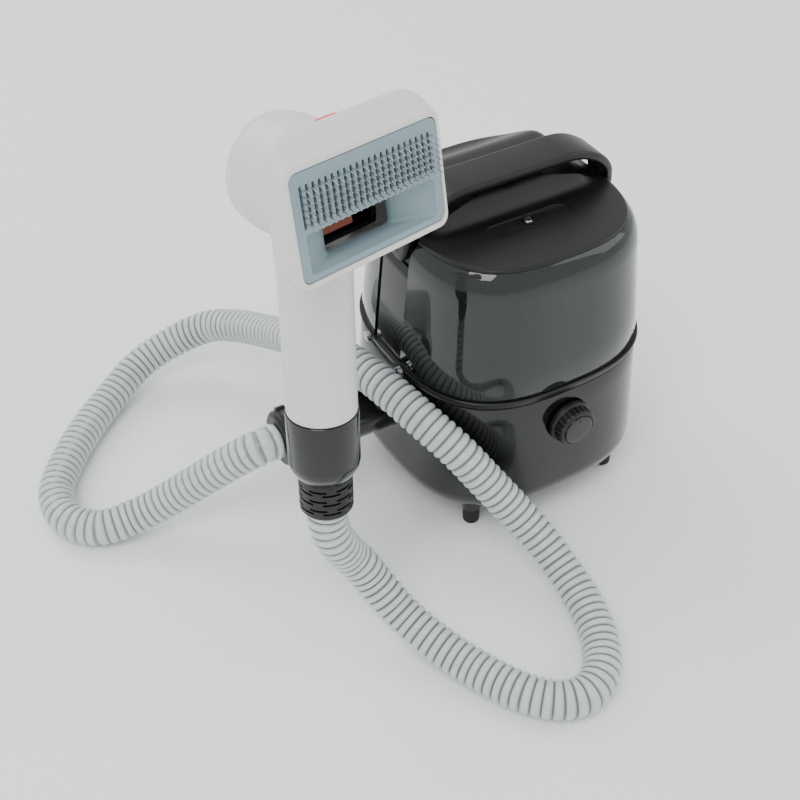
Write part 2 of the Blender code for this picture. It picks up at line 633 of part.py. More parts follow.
def build_bin_collar(b, root):
    low = BASE_TOP + GAP
    high = low + COLLAR_HEIGHT
    mid = low + 0.55 * COLLAR_HEIGHT
    outer = RIM_HALF
    rings = [plan(COLLAR_INNER_HALF, low), plan(outer, low), plan(outer + COLLAR_FLARE, mid),
             plan(outer + COLLAR_FLARE, high), plan(COLLAR_INNER_HALF, high)]
    collar = b.solid("bin_collar", skin(rings, closed=True), "satin_black", root)
    b.boolean(collar, box((DUCT_OUTER_X, DUCT_LOW_Y, low - CUT), (DUCT_INNER_X, DUCT_HIGH_Y, high + CUT)),
              "duct_slot")


def build_bin(b, root):
    low = BIN_LOW
    top = SEAM_Z - GAP
    right_none = 2 * RIM_HALF
    shoulder = [BIN_SHOULDER_START + (SEAM_Z - BIN_SHOULDER_START) * f for f in (0.55, 0.85)]
    levels = [low, BIN_SHOULDER_START, LEG_NOTCH_Z] + shoulder + [top]

    def ring(z, shrink):
        left = RISER_NOTCH_X if z < LEG_NOTCH_Z else LEG_NOTCH_X
        right = right_none if z < LEG_NOTCH_Z else LEG_NOTCH_X
        return notched_plan(bin_half(z) - shrink, z, left - shrink, right - shrink,
                            NOTCH_LOW_Y - shrink, NOTCH_HIGH_Y + shrink)

    outer = [ring(z, 0) for z in levels]
    inner = [ring(z, BIN_WALL) for z in levels[1:]]
    floor = low + BIN_WALL
    inner.insert(0, [Vector((p.x, p.y, floor)) for p in ring(low, BIN_WALL)])
    tub = b.solid("dust_bin", skin(outer + list(reversed(inner))), "smoke_clear", root)
    eye = turned([(AIR_EYE_RADIUS, low - CUT), (AIR_EYE_RADIUS, floor + CUT)], 32)
    b.boolean(tub, eye, "air_eye")
    b.boolean(tub, box((-RISER_NOTCH_X - CUT, DUCT_LOW_Y + 3 * MM, RISER_TOP - 30 * MM),
                       (-RISER_NOTCH_X + 2 * CUT, DUCT_HIGH_Y - 3 * MM, RISER_TOP - 8 * MM)), "duct_port")


def build_riser(b, root):
    low = BIN_LOW
    inner_x = RISER_NOTCH_X + GAP
    y_mid = (NOTCH_LOW_Y + NOTCH_HIGH_Y) / 2
    half_y = (NOTCH_HIGH_Y - NOTCH_LOW_Y) / 2 - GAP

    def ring(z, outset, shrink):
        outer_x = min(plan_side_x(bin_half(z), NOTCH_LOW_Y), plan_side_x(bin_half(z), NOTCH_HIGH_Y)) - outset
        half_x = (outer_x - inner_x) / 2
        centre = (-(outer_x + inner_x) / 2, y_mid)
        return rounded_rect(half_x - shrink, half_y - shrink, 1.4 * MM, z, 2, centre)

    top = RISER_TOP
    bend = top - 8 * MM
    rings = [ring(top, 4 * MM, 1 * MM), ring(bend, 1 * MM, 0), ring(low, 1 * MM, 0),
             ring(low, 1 * MM, RISER_WALL), ring(bend, 1 * MM, RISER_WALL),
             ring(bend + 4 * MM, 3 * MM, RISER_WALL)]
    duct = b.solid("riser_duct", skin(rings), "gloss_black", root)
    b.boolean(duct, box((-inner_x - RISER_WALL - 0.5 * MM, DUCT_LOW_Y + 3 * MM, RISER_TOP - 30 * MM),
                        (-inner_x + CUT, DUCT_HIGH_Y - 3 * MM, RISER_TOP - 10 * MM)), "duct_port")


def build_riser_screws(b, root):
    z = BASE_TOP + GAP + 0.6 * COLLAR_HEIGHT
    collar = bpy.data.objects["bin_collar"]
    for name, y in (("riser_screw_front", NOTCH_LOW_Y - 5 * MM), ("riser_screw_rear", NOTCH_HIGH_Y + 5 * MM)):
        x = -plan_side_x(RIM_HALF + COLLAR_FLARE, y)
        head = [(2.2 * MM, 0), (2.2 * MM, 4 * MM), (4.5 * MM, 4 * MM), (4.5 * MM, 7 * MM), (3.2 * MM, 8 * MM)]
        place = Matrix.Translation((x + 3.4 * MM, y, z)) @ Matrix.Rotation(math.radians(-90), 4, "Y")
        b.solid(name, moved(turned(head, 16), place), "bright_steel", root)
        hole = turned([(2.2 * MM + GAP, -GAP), (2.2 * MM + GAP, 2 * CUT)], 12)
        b.boolean(collar, moved(hole, place), name)


def build_filter(b, root):
    floor = BIN_LOW + BIN_WALL + GAP
    cage = [(AIR_EYE_RADIUS + 2 * MM, floor), (FILTER_RADIUS + 2 * MM, floor), (FILTER_RADIUS + 2 * MM, floor + 4 * MM),
            (AIR_EYE_RADIUS + 4 * MM, floor + 4 * MM), (AIR_EYE_RADIUS + 4 * MM, FILTER_LOW - GAP),
            (AIR_EYE_RADIUS + 2 * MM, FILTER_LOW - GAP)]
    b.solid("filter_stand", turned(cage, 24, closed=True), "satin_black", root)
    rings = []
    pleats = FILTER_PLEATS * 2
    for z in (FILTER_LOW, FILTER_HIGH):
        rings.append([Vector((r * math.cos(a), r * math.sin(a), z)) for r, a in
                      (((FILTER_RADIUS if i % 2 else FILTER_RADIUS - 5 * MM), 2 * math.pi * i / pleats)
                       for i in range(pleats))])
    inner = FILTER_RADIUS - 9 * MM
    rings.append(circle(inner, FILTER_HIGH, pleats))
    rings.append(circle(inner, FILTER_LOW, pleats))
    b.solid("pleated_filter", skin(rings, closed=True), "filter_paper", root)
    cap = [(FILTER_RADIUS + 2 * MM, FILTER_HIGH + GAP), (FILTER_RADIUS + 2 * MM, FILTER_HIGH + 5 * MM),
           (FILTER_RADIUS - 6 * MM, FILTER_HIGH + 8 * MM)]
    b.solid("filter_cap", turned(cap, 32), "brown_abs", root)


# ---------------------------------------------------------------- lid and carry handle


def build_lid(b, root):
    wide = 2 * RIM_HALF
    edge = notched_plan(LID_HALF, SEAM_Z, wide, wide)

    def surface(scale, drop):
        return [Vector((p.x * scale, p.y * scale, lid_height(p.x * scale, p.y * scale, LID_HALF) - drop))
                for p in edge]

    def skirt(z, inset):
        return notched_plan(SKIRT_HALF - inset, z, SKIRT_FLOOR - inset, SKIRT_FLOOR - inset,
                            NOTCH_LOW_Y - 6 * MM - inset, NOTCH_HIGH_Y + 6 * MM + inset)

    top = [surface(scale, 0) for scale in (0.12, 0.32, 0.52, 0.66, 0.78, 0.88, 0.96)]
    rings = top + [surface(0.99, 0.5 * MM), surface(1.0, 1.4 * MM)]
    rings.append([Vector((p.x, p.y, SEAM_Z)) for p in edge])
    rings.append(skirt(SEAM_Z, 0))
    rings.append(skirt(SEAM_Z - LID_SKIRT_DEPTH, 0))
    rings.append(skirt(SEAM_Z - LID_SKIRT_DEPTH, 2 * MM))
    rings.append(skirt(LID_FRONT_Z - LID_THICKNESS - 1.4 * MM, 2 * MM))
    rings += [surface(scale, LID_THICKNESS) for scale in (0.78, 0.6, 0.4, 0.2)]
    lid = b.solid("lid", skin(rings), "satin_black", root)
    for side, sign in (("left", -1), ("right", 1)):
        inner = LEG_NOTCH_X + GAP
        xs = sorted((sign * inner, sign * (inner + EAR_THICKNESS)))
        ear = box((xs[0], -11 * MM, PIVOT_Z - 11 * MM), (xs[1], 11 * MM, SEAM_Z + 1 * MM))
        b.boolean(lid, ear, side + "_ear", "UNION")
    hole = turned([(LID_BUTTON_RADIUS + FIT, SEAM_Z - 3 * CUT), (LID_BUTTON_RADIUS + FIT, SEAM_Z + 2 * CUT)], 20)
    b.boolean(lid, moved(hole, Matrix.Translation((0, LID_BUTTON_Y, 0))), "button_hole")
    y = LID_BUTTON_Y - 2 * MM
    recess = skin([rounded_rect(RECESS_HALF_X, RECESS_HALF_Y, 8 * MM, LID_FRONT_Z - RECESS_DEPTH, 4, (0, y)),
                   rounded_rect(RECESS_HALF_X, RECESS_HALF_Y, 8 * MM, LID_FRONT_Z + 2 * CUT, 4, (0, y))])
    b.boolean(lid, recess, "recess")


def build_lid_seal(b, root):
    low, high = SEAM_Z - 5 * MM, SEAM_Z - 2 * MM

    def ring(z, inset):
        half = SKIRT_HALF + GAP + 2 * MM - inset
        floor = SEAL_FLOOR - inset
        return notched_plan(half, z, floor, floor, NOTCH_LOW_Y - BIN_WALL - GAP - inset,
                            NOTCH_HIGH_Y + BIN_WALL + GAP + inset)

    width = 2 * MM
    rings = [ring(low, width), ring(low, 0), ring(high, 0), ring(high, width)]
    b.solid("lid_seal", skin(rings, closed=True), "rubber_black", root)


def build_lid_button(b, root):
    place = Matrix.Translation((0, LID_BUTTON_Y, 0))
    seat = LID_FRONT_Z - RECESS_DEPTH
    origin = (0, LID_BUTTON_Y, seat)
    ring = [(LID_BUTTON_RADIUS + FIT, seat + GAP), (LID_BUTTON_RADIUS + 2 * MM, seat + GAP),
            (LID_BUTTON_RADIUS + 1.6 * MM, seat + 1.2 * MM), (LID_BUTTON_RADIUS + FIT, seat + 1.2 * MM)]
    b.solid("lid_button_ring", moved(turned(ring, 24, closed=True), place), "gloss_black", root)
    foot = SPRING_HIGH + GAP
    button = [(LID_BUTTON_RADIUS, foot), (LID_BUTTON_RADIUS, seat + 0.6 * MM),
              (LID_BUTTON_RADIUS - 0.8 * MM, seat + 1.2 * MM)]
    b.solid("lid_button", moved(turned(button, 24), place), "bright_steel", root, origin=origin)
    well = [(7 * MM, SPRING_LOW - 2 * MM), (7 * MM, seat - LID_THICKNESS - 0.8 * MM),
             (5 * MM, seat - LID_THICKNESS - 0.8 * MM), (5 * MM, SPRING_LOW - GAP)]
    b.solid("button_well", moved(turned(well, 20), place), "satin_black", root)
    turns, wire = 3.5, 0.45 * MM
    steps = int(turns * 8)
    curve = bpy.data.curves.new("lid_button_spring", "CURVE")
    curve.dimensions = "3D"
    spline = curve.splines.new("POLY")
    spline.points.add(steps)
    for i in range(steps + 1):
        angle = 2 * math.pi * turns * i / steps
        z = SPRING_LOW + wire + (SPRING_HIGH - SPRING_LOW - 2 * wire) * i / steps
        spline.points[i].co = (2.6 * MM * math.cos(angle), 2.6 * MM * math.sin(angle), z, 1)
    curve.bevel_depth = wire
    curve.bevel_resolution = 0
    curve.use_fill_caps = True
    curve.materials.append(b.materials["bright_steel"])
    spring = bpy.data.objects.new("lid_button_spring", curve)
    bpy.context.scene.collection.objects.link(spring)
    spring.parent = root
    spring.location = (0, LID_BUTTON_Y, 0)
    b.nodes.append(spring)


def build_handle(b, root):
    """The strap: a wide flat section swept over the lid, its round ends on the pivots."""
    right = [(98.0, 247, 12, 8), (98.2, 251, 21, 8.6), (98.3, PIVOT_Z / MM, 26, 8.6), (97.6, 267, 28, 8),
             (95.6, 274, 31, 7.4), (91.2, 281.5, 33, 7.4), (84.5, 288.5, 35, 7.6), (75.5, 294.5, 36.4, 7.8),
             (64.5, 299.5, 37, 8), (52, 302, 37, 8), (20, 302, 37, 8)]
    path = right + [(-x, z, w, t) for x, z, w, t in reversed(right)]
    rings = []
    for i, (x, z, width, thick) in enumerate(path):
        before = path[max(0, i - 1)]
        after = path[min(len(path) - 1, i + 1)]
        along = Vector((after[0] - before[0], 0, after[1] - before[1])).normalized()
        across = Vector((along.z, 0, -along.x))
        centre = Vector((x * MM, HANDLE_Y * smooth_step(z, 262, 296), z * MM))
        section = rounded_rect(width / 2 * MM, thick / 2 * MM, min(3.0, thick / 2 - 0.4) * MM, 0, 2)
        rings.append([centre + Vector((0, p.x, 0)) + across * p.y for p in section])
    strap = b.solid("carry_handle", skin(rings), "satin_black", root, origin=(0, 0, PIVOT_Z))
    inner = LEG_NOTCH_X + GAP + EAR_THICKNESS + GAP
    for side, sign in (("left", -1), ("right", 1)):
        bore = turned([(PIVOT_RADIUS + FIT, -2 * CUT), (PIVOT_RADIUS + FIT, 2 * CUT)], 20)
        b.boolean(strap, moved(bore, Matrix.Translation((sign * 98 * MM, 0, PIVOT_Z)) @ AXIS_X), side + "_bore")
        outer = HANDLE_OUTER_X - 0.6 * MM
        pin = turned([(PIVOT_RADIUS, inner), (PIVOT_RADIUS, outer)], 20)
        turn = AXIS_X if sign > 0 else Matrix.Rotation(math.radians(-90), 4, "Y")
        b.solid("handle_pivot_" + side, moved(pin, Matrix.Translation((0, 0, PIVOT_Z)) @ turn),
                "bright_steel", root, origin=(0, 0, PIVOT_Z))


# ---------------------------------------------------------------- brush handset

def handset_matrix():
    face = Vector((math.sin(HANDSET_YAW), -math.cos(HANDSET_YAW), 0))
    side = Vector((math.cos(HANDSET_YAW), math.sin(HANDSET_YAW), 0))
    up = Vector((0, 0, 1)) - face * math.tan(HANDSET_LEAN_BACK) + side * math.tan(HANDSET_LEAN_SIDE)
    up.normalize()
    front = (face - up * face.dot(up)).normalized()
    across = up.cross(front)
    if across.dot(side) < 0:
        across.negate()
    matrix = Matrix((across, -front, up)).transposed().to_4x4()
    matrix.translation = Vector(HANDSET_ORIGIN)
    return matrix


FACE = Matrix.Translation((0, BRUSH_Y, BRUSH_Z)) @ Matrix.Rotation(-BRUSH_PITCH, 4, "X")
BUTTON_TILT = math.radians(25)
BUTTON = Matrix.Translation((0, BUTTON_Y, BUTTON_TOP_Z)) @ Matrix.Rotation(-BUTTON_TILT, 4, "X")


def head_ring(y, half_x, top, low, corner, tilt):
    """One upright section of the head: a rounded rectangle that ends as a circle."""
    centre = (top + low) / 2
    flat = rounded_rect(half_x, (top - low) / 2, corner, 0, 5)
    points = []
    for p in flat:
        z = centre + p.y
        points.append(Vector((p.x, y + math.tan(BRUSH_PITCH) * (z - BRUSH_Z) * tilt, z)))
    return points


def build_head_shell(b, handset):
    half_x = PLATE_WIDTH / 2 + GAP
    half_z = PLATE_HEIGHT / 2 + GAP
    outer_x = half_x + HEAD_RIM
    low = BRUSH_Z - half_z - HEAD_RIM - 1 * MM
    high = BRUSH_Z + half_z + HEAD_RIM + 1 * MM
    r, zc = BARREL_RADIUS, BARREL_Z
    sections = [
        (BRUSH_Y - 0.4 * MM, outer_x - 1.4 * MM, high - 1.4 * MM, low + 1.4 * MM, 7 * MM, 1.0),
        (BRUSH_Y + 1.8 * MM, outer_x, high, low, 9 * MM, 1.0),
        (BRUSH_Y + 12 * MM, outer_x + 0.4 * MM, high + 6.5 * MM, low - 0.5 * MM, 11 * MM, 0.8),
        (BRUSH_Y + 20 * MM, outer_x - 1 * MM, high + 10.5 * MM, low - 1 * MM, 15 * MM, 0.5),
        (BRUSH_Y + 26 * MM, outer_x - 6 * MM, high + 9 * MM, low - 2.5 * MM, 21 * MM, 0.3),
        (BRUSH_Y + 33 * MM, outer_x - 15 * MM, high + 5.5 * MM, low - 5 * MM, 30 * MM, 0.1),
        (BRUSH_Y + 41 * MM, r + 4 * MM, zc + r + 7.5 * MM, zc - r + 2.5 * MM, r - 4 * MM, 0),
        (BRUSH_Y + 51 * MM, r + 0.7 * MM, zc + r + 2.5 * MM, zc - r + 0.5 * MM, r - 1 * MM, 0),
        (BRUSH_Y + 62 * MM, r, zc + r, zc - r, r - 0.1 * MM, 0),
    ]
    for share, y in ((1.0, 0.5), (0.9, 0.75), (0.67, 0.91), (0.3, 1.0)):
        end = BARREL_END_Y * y
        sections.append((end, r * share, zc + r * share, zc - r * share, r * share - 0.1 * MM, 0))
    outer = [head_ring(*section) for section in sections]
    inner = []
    w = HEAD_WALL
    for y, hx, top, bottom, corner, tilt in sections[2:]:
        inner.append(head_ring(min(y, BARREL_END_Y - w), hx - w, top - w, bottom + w, max(corner - w, 3 * MM), tilt))
    mouth = [head_ring(y, half_x, BRUSH_Z + half_z, BRUSH_Z - half_z, PLATE_CORNER + GAP, 1.0)
             for y in (BRUSH_Y - 0.4 * MM, BRUSH_Y + 5.5 * MM)]
    rings = list(reversed(outer)) + mouth + inner
    shell = b.solid("head_shell", skin(rings), "white_abs", handset)
    bore = turned([(TUBE_RADIUS + GAP, TUBE_TOP - 34 * MM), (TUBE_RADIUS + GAP, TUBE_TOP + 4 * MM)], 32)
    b.boolean(shell, bore, "tube_bore")
    hole = skin([[Vector((p.x * BUTTON_HALF_X, p.y * BUTTON_HALF_Y, z)) for p in circle(1 + FIT / BUTTON_HALF_Y, 0, 24)]
                 for z in (-2 * CUT, 2 * CUT)])
    b.boolean(shell, moved(hole, BUTTON), "button_hole")


def build_face_plate(b, handset):
    outline = rounded_rect(PLATE_WIDTH / 2, PLATE_HEIGHT / 2, PLATE_CORNER, 0, 4)
    plate_bm = skin([[Vector((p.x, y, p.y)) for p in outline] for y in (0, 4 * MM)])
    plate = b.solid("face_plate", moved(plate_bm, FACE), "blue_grey_abs", handset)
    half = NOZZLE_WIDTH / 2
    funnel = box((-half - 3 * MM, 2 * MM, NOZZLE_LOW - 2.5 * MM), (half + 3 * MM, NOZZLE_DEPTH + 1 * MM,
                                                                  NOZZLE_HIGH + 2.2 * MM))
    b.boolean(plate, moved(funnel, FACE), "funnel", "UNION")
    throat = NOZZLE_THROAT / 2
    mouth = [(half + 1.4 * MM, -1 * MM, NOZZLE_LOW, NOZZLE_HIGH),
             (throat, NOZZLE_DEPTH, NOZZLE_LOW + 1 * MM, NOZZLE_HIGH - 2 * MM),
             (throat, NOZZLE_DEPTH + CUT, NOZZLE_LOW + 1 * MM, NOZZLE_HIGH - 2 * MM)]
    rings = [[Vector((x, y, z)) for x, z in ((-hx, zl), (hx, zl), (hx, zh), (-hx, zh))]
             for hx, y, zl, zh in mouth]
    b.boolean(plate, moved(skin(rings), FACE), "nozzle")
    slots = []
    for i in range(SLOT_COUNT):
        x = slot_x(i)
        slots.append(box((x - SLOT_WIDTH / 2, -CUT, SLOT_LOW), (x + SLOT_WIDTH / 2, 2 * CUT, SLOT_HIGH)))
    b.boolean(plate, moved(joined(*slots), FACE), "pin_slots")


def slot_x(index):
    return (index - (SLOT_COUNT - 1) / 2) * SLOT_PITCH


def build_pin_carrier(b, handset):
    """One plate whose front grows a square pin at every crossing of its grid."""
    xs = [-PLATE_WIDTH / 2 + 5 * MM]
    for i in range(SLOT_COUNT):
        xs += [slot_x(i) - PIN_SIZE / 2, slot_x(i) + PIN_SIZE / 2]
    xs.append(PLATE_WIDTH / 2 - 5 * MM)
    row_pitch = (SLOT_HIGH - SLOT_LOW - 4 * MM) / (PIN_ROWS - 1)
    zs = [SLOT_LOW + 0.4 * MM]
    for i in range(PIN_ROWS):
        z = SLOT_LOW + 2 * MM + i * row_pitch
        zs += [z - PIN_SIZE / 2, z + PIN_SIZE / 2]
    zs.append(SLOT_HIGH + 1 * MM)
    bm = bmesh.new()
    front, back = CARRIER_Y, CARRIER_Y + 3 * MM
    grid = [[bm.verts.new((x, front, z)) for z in zs] for x in xs]
    pins = []
    for i in range(len(xs) - 1):
        for j in range(len(zs) - 1):
            face = bm.faces.new((grid[i][j], grid[i + 1][j], grid[i + 1][j + 1], grid[i][j + 1]))
            if i % 2 and j % 2:
                pins.append(face)
    rim = [grid[i][0] for i in range(len(xs))] + [grid[-1][j] for j in range(1, len(zs))] + \
        [grid[i][-1] for i in range(len(xs) - 2, -1, -1)] + [grid[0][j] for j in range(len(zs) - 2, 0, -1)]
    behind = [bm.verts.new((v.co.x, back, v.co.z)) for v in rim]
    for i in range(len(rim)):
        j = (i + 1) % len(rim)
        bm.faces.new((rim[i], behind[i], behind[j], rim[j]))
    bm.faces.new(behind)
    grown = bmesh.ops.extrude_discrete_faces(bm, faces=pins)["faces"]
    for face in grown:
        for vert in face.verts:
            vert.co.y = -PIN_REACH
    origin = FACE @ Vector((0, CARRIER_Y, (SLOT_LOW + SLOT_HIGH) / 2))
    b.solid("pin_carrier", moved(bm, FACE), "bright_steel", handset, origin=origin)


def build_release_button(b, handset):
    rings = []
    for z, scale in ((-9 * MM, 1.0), (0.6 * MM, 1.0), (1.4 * MM, 0.8)):
        rings.append([Vector((p.x * BUTTON_HALF_X * scale, p.y * BUTTON_HALF_Y * scale, z))
                      for p in circle(1, 0, 24)])
    b.solid("release_button", moved(skin(rings), BUTTON), "orange_abs", handset,
            origin=(0, BUTTON_Y, BUTTON_TOP_Z))


def build_head_inside(b, handset):
    low = (-26 * MM, -33 * MM, TUBE_TOP + 1 * MM)
    high = (26 * MM, 24 * MM, TUBE_TOP + 40 * MM)
    duct = b.solid("head_duct", box(low, high), "satin_black", handset)
    t = 2 * MM
    b.boolean(duct, box([v + t for v in low], [v - t for v in high]), "hollow")
    b.boolean(duct, box((-22 * MM, low[1] - CUT, low[2] + t + 1 * MM), (22 * MM, low[1] + CUT, low[2] + 27 * MM)),
              "front_port")
    bore = turned([(TUBE_RADIUS - TUBE_WALL - 1 * MM, low[2] - CUT), (TUBE_RADIUS - TUBE_WALL - 1 * MM,
                                                                   low[2] + CUT)], 24)
    b.boolean(duct, bore, "tube_port")
    y = NOZZLE_DEPTH + 1 * MM + GAP
    guide = box((-27 * MM, y, NOZZLE_HIGH - 14 * MM), (-1 * MM, y + 3 * MM, NOZZLE_HIGH - 1 * MM))
    b.solid("airway_guide", moved(guide, FACE), "brown_abs", handset)


def build_tube(b, handset):
    inner = TUBE_RADIUS - TUBE_WALL
    spigot = inner - 0.4 * MM
    bore = spigot - 2.2 * MM
    tube = [(TUBE_RADIUS, 0), (TUBE_RADIUS, TUBE_TOP), (inner, TUBE_TOP), (inner, 4 * MM), (bore, 2 * MM),
            (bore, -22 * MM), (spigot, -22 * MM), (spigot, 0)]
    b.solid("handle_tube", turned(tube, 32, closed=True), "white_abs", handset)
    socket = spigot + GAP
    collar = [(COLLAR_RADIUS, -GAP), (COLLAR_RADIUS, -COLLAR_LENGTH + 13 * MM),
              (COLLAR_RADIUS - 2 * MM, -COLLAR_LENGTH + 7 * MM), (CUFF_RADIUS + 0.6 * MM, -COLLAR_LENGTH),
              (NECK_RADIUS + FIT, -COLLAR_LENGTH), (NECK_RADIUS + FIT, -COLLAR_LENGTH + 5 * MM),
              (FLANGE_RADIUS + 1 * MM, -COLLAR_LENGTH + 5 * MM), (FLANGE_RADIUS + 1 * MM, -COLLAR_LENGTH + 20 * MM),
              (bore, -COLLAR_LENGTH + 22 * MM), (bore, -25 * MM), (socket, -23 * MM), (socket, -GAP)]
    b.solid("swivel_collar", turned(collar, 28, closed=True), "gloss_black", handset)
    low = -COLLAR_LENGTH - CUFF_LENGTH
    cuff_bore = CUFF_RADIUS - CUFF_WALL - 2 * MM
    cuff = [(CUFF_RADIUS - 1.5 * MM, low), (CUFF_RADIUS, low + 2 * MM), (CUFF_RADIUS, -COLLAR_LENGTH - GAP),
            (NECK_RADIUS, -COLLAR_LENGTH - GAP), (NECK_RADIUS, -COLLAR_LENGTH + 5.5 * MM),
            (FLANGE_RADIUS, -COLLAR_LENGTH + 5.5 * MM), (FLANGE_RADIUS, -COLLAR_LENGTH + 8.5 * MM),
            (NECK_RADIUS - 2.2 * MM, -COLLAR_LENGTH + 8.5 * MM), (NECK_RADIUS - 2.2 * MM, -COLLAR_LENGTH - 2.5 * MM),
            (CUFF_RADIUS - CUFF_WALL, -COLLAR_LENGTH - 2.5 * MM), (CUFF_RADIUS - CUFF_WALL, low + 3 * MM),
            (cuff_bore, low + 3 * MM), (cuff_bore, low)]
    cuff_obj = b.solid("hose_cuff", turned(cuff, 24, closed=True), "satin_black", handset)
    slots = []
    for row in range(3):
        z = -COLLAR_LENGTH - 7 * MM - 8.6 * MM * row
        for quarter in range(4):
            slot = box((-10 * MM, CUFF_RADIUS - CUFF_WALL - 1.2 * MM, z - 1.5 * MM),
                       (10 * MM, CUFF_RADIUS + 1 * MM, z + 1.5 * MM))
            slots.append(moved(slot, Matrix.Rotation(math.radians(90 * quarter + 45 * (row % 2)), 4, "Z")))
    b.boolean(cuff_obj, joined(*slots), "flex_slots")


# ---------------------------------------------------------------- hose

def smooth_curve(points, steps=12):
    """A centripetal curve through the route's points, finely sampled."""
    route = [points[0] * 2 - points[1]] + points + [points[-1] * 2 - points[-2]]
    result = []
    for p0, p1, p2, p3 in zip(route, route[1:], route[2:], route[3:]):
        t1 = (p1 - p0).length ** 0.5
        t2 = t1 + (p2 - p1).length ** 0.5
        t3 = t2 + (p3 - p2).length ** 0.5
        for i in range(steps):
            t = t1 + (t2 - t1) * i / steps
            a1 = p0 * ((t1 - t) / t1) + p1 * (t / t1)
            a2 = p1 * ((t2 - t) / (t2 - t1)) + p2 * ((t - t1) / (t2 - t1))
            a3 = p2 * ((t3 - t) / (t3 - t2)) + p3 * ((t - t2) / (t3 - t2))
            b1 = a1 * ((t2 - t) / t2) + a2 * (t / t2)
            b2 = a2 * ((t3 - t) / (t3 - t1)) + a3 * ((t - t1) / (t3 - t1))
            result.append(b1 * ((t2 - t) / (t2 - t1)) + b2 * ((t - t1) / (t2 - t1)))
    result.append(points[-1])
    return result


def evenly(points, count):
    lengths = [0.0]
    for a, c in zip(points, points[1:]):
        lengths.append(lengths[-1] + (c - a).length)
    result, k = [], 0
    for i in range(count):
        want = lengths[-1] * i / (count - 1)
        while k < len(points) - 2 and lengths[k + 1] < want:
            k += 1
        share = (want - lengths[k]) / (lengths[k + 1] - lengths[k])
        result.append(points[k].lerp(points[k + 1], share))
    return result


def build_hose(b, root, handset_place):
    straight = HOSE_RADIUS
    leave = handset_place @ Vector((0, 0, -COLLAR_LENGTH - CUFF_LENGTH - GAP))
    down = -(handset_place.to_3x3() @ Vector((0, 0, 1)))
    arrive = Vector((PIPE_END_X - CONNECTOR_LENGTH - GAP, INLET_Y, INLET_Z))
    first = leave + down * straight
    last = arrive - Vector((straight, 0, 0))
    route = [first] + [Vector(p) * MM for p in HOSE_ROUTE] + [last]
    middle = evenly(smooth_curve(route), HOSE_POINTS - 2)
    points = [leave] + middle + [arrive]
    curve = bpy.data.curves.new("hose", "CURVE")
    curve.dimensions = "3D"
    spline = curve.splines.new("POLY")
    spline.points.add(len(points) - 1)
    for target, point in zip(spline.points, points):
        target.co = (*point, 1)
    curve.bevel_depth = HOSE_RADIUS
    curve.bevel_resolution = 2
    curve.use_fill_caps = True
    curve.materials.append(b.materials["hose_grey"])
    hose = bpy.data.objects.new("hose", curve)
    bpy.context.scene.collection.objects.link(hose)
    hose.parent = root
    b.nodes.append(hose)
    return hose


# ---------------------------------------------------------------- whole unit

def centre_origin(root, nodes):
    """Put the origin under the middle of everything but the hose."""
    bpy.context.view_layer.update()
    graph = bpy.context.evaluated_depsgraph_get()
    corners = []
    for obj in nodes:
        evaluated = obj.evaluated_get(graph)
        mesh = evaluated.to_mesh()
        corners += [obj.matrix_world @ vert.co for vert in mesh.vertices]
        evaluated.to_mesh_clear()
    low = [min(p[k] for p in corners) for k in range(3)]
    high = [max(p[k] for p in corners) for k in range(3)]
    root.location = (-(low[0] + high[0]) / 2, -(low[1] + high[1]) / 2, -low[2])


def main():
    clear_scene()
    b = Builder()
    root = b.empty("pet_dryer_root")
    place = handset_matrix()
    handset = b.empty("handset_frame", root, place)
    build_base_housing(b, root)
    build_base_plate(b, root)
    build_feet(b, root)
    build_power_train(b, root)
    build_controls(b, root)
    build_rear_fittings(b, root)
    build_inlet(b, root)
    build_bin_collar(b, root)
    build_bin(b, root)
    build_riser(b, root)
    build_riser_screws(b, root)
    build_filter(b, root)
    build_lid(b, root)
    build_lid_seal(b, root)
    build_lid_button(b, root)
    build_handle(b, root)
    build_head_shell(b, handset)
    build_face_plate(b, handset)
    build_pin_carrier(b, handset)
    build_release_button(b, handset)
    build_head_inside(b, handset)
    build_tube(b, handset)
    solid_nodes = list(b.nodes)
    build_hose(b, root, place)
    centre_origin(root, solid_nodes)


main()
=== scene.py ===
"""Looks of the pet grooming dryer: canister, smoke-clear bin, lid, handle, ribbed hose and brush handset."""
import json
import math

import bmesh
import bpy
from mathutils import Matrix, Vector


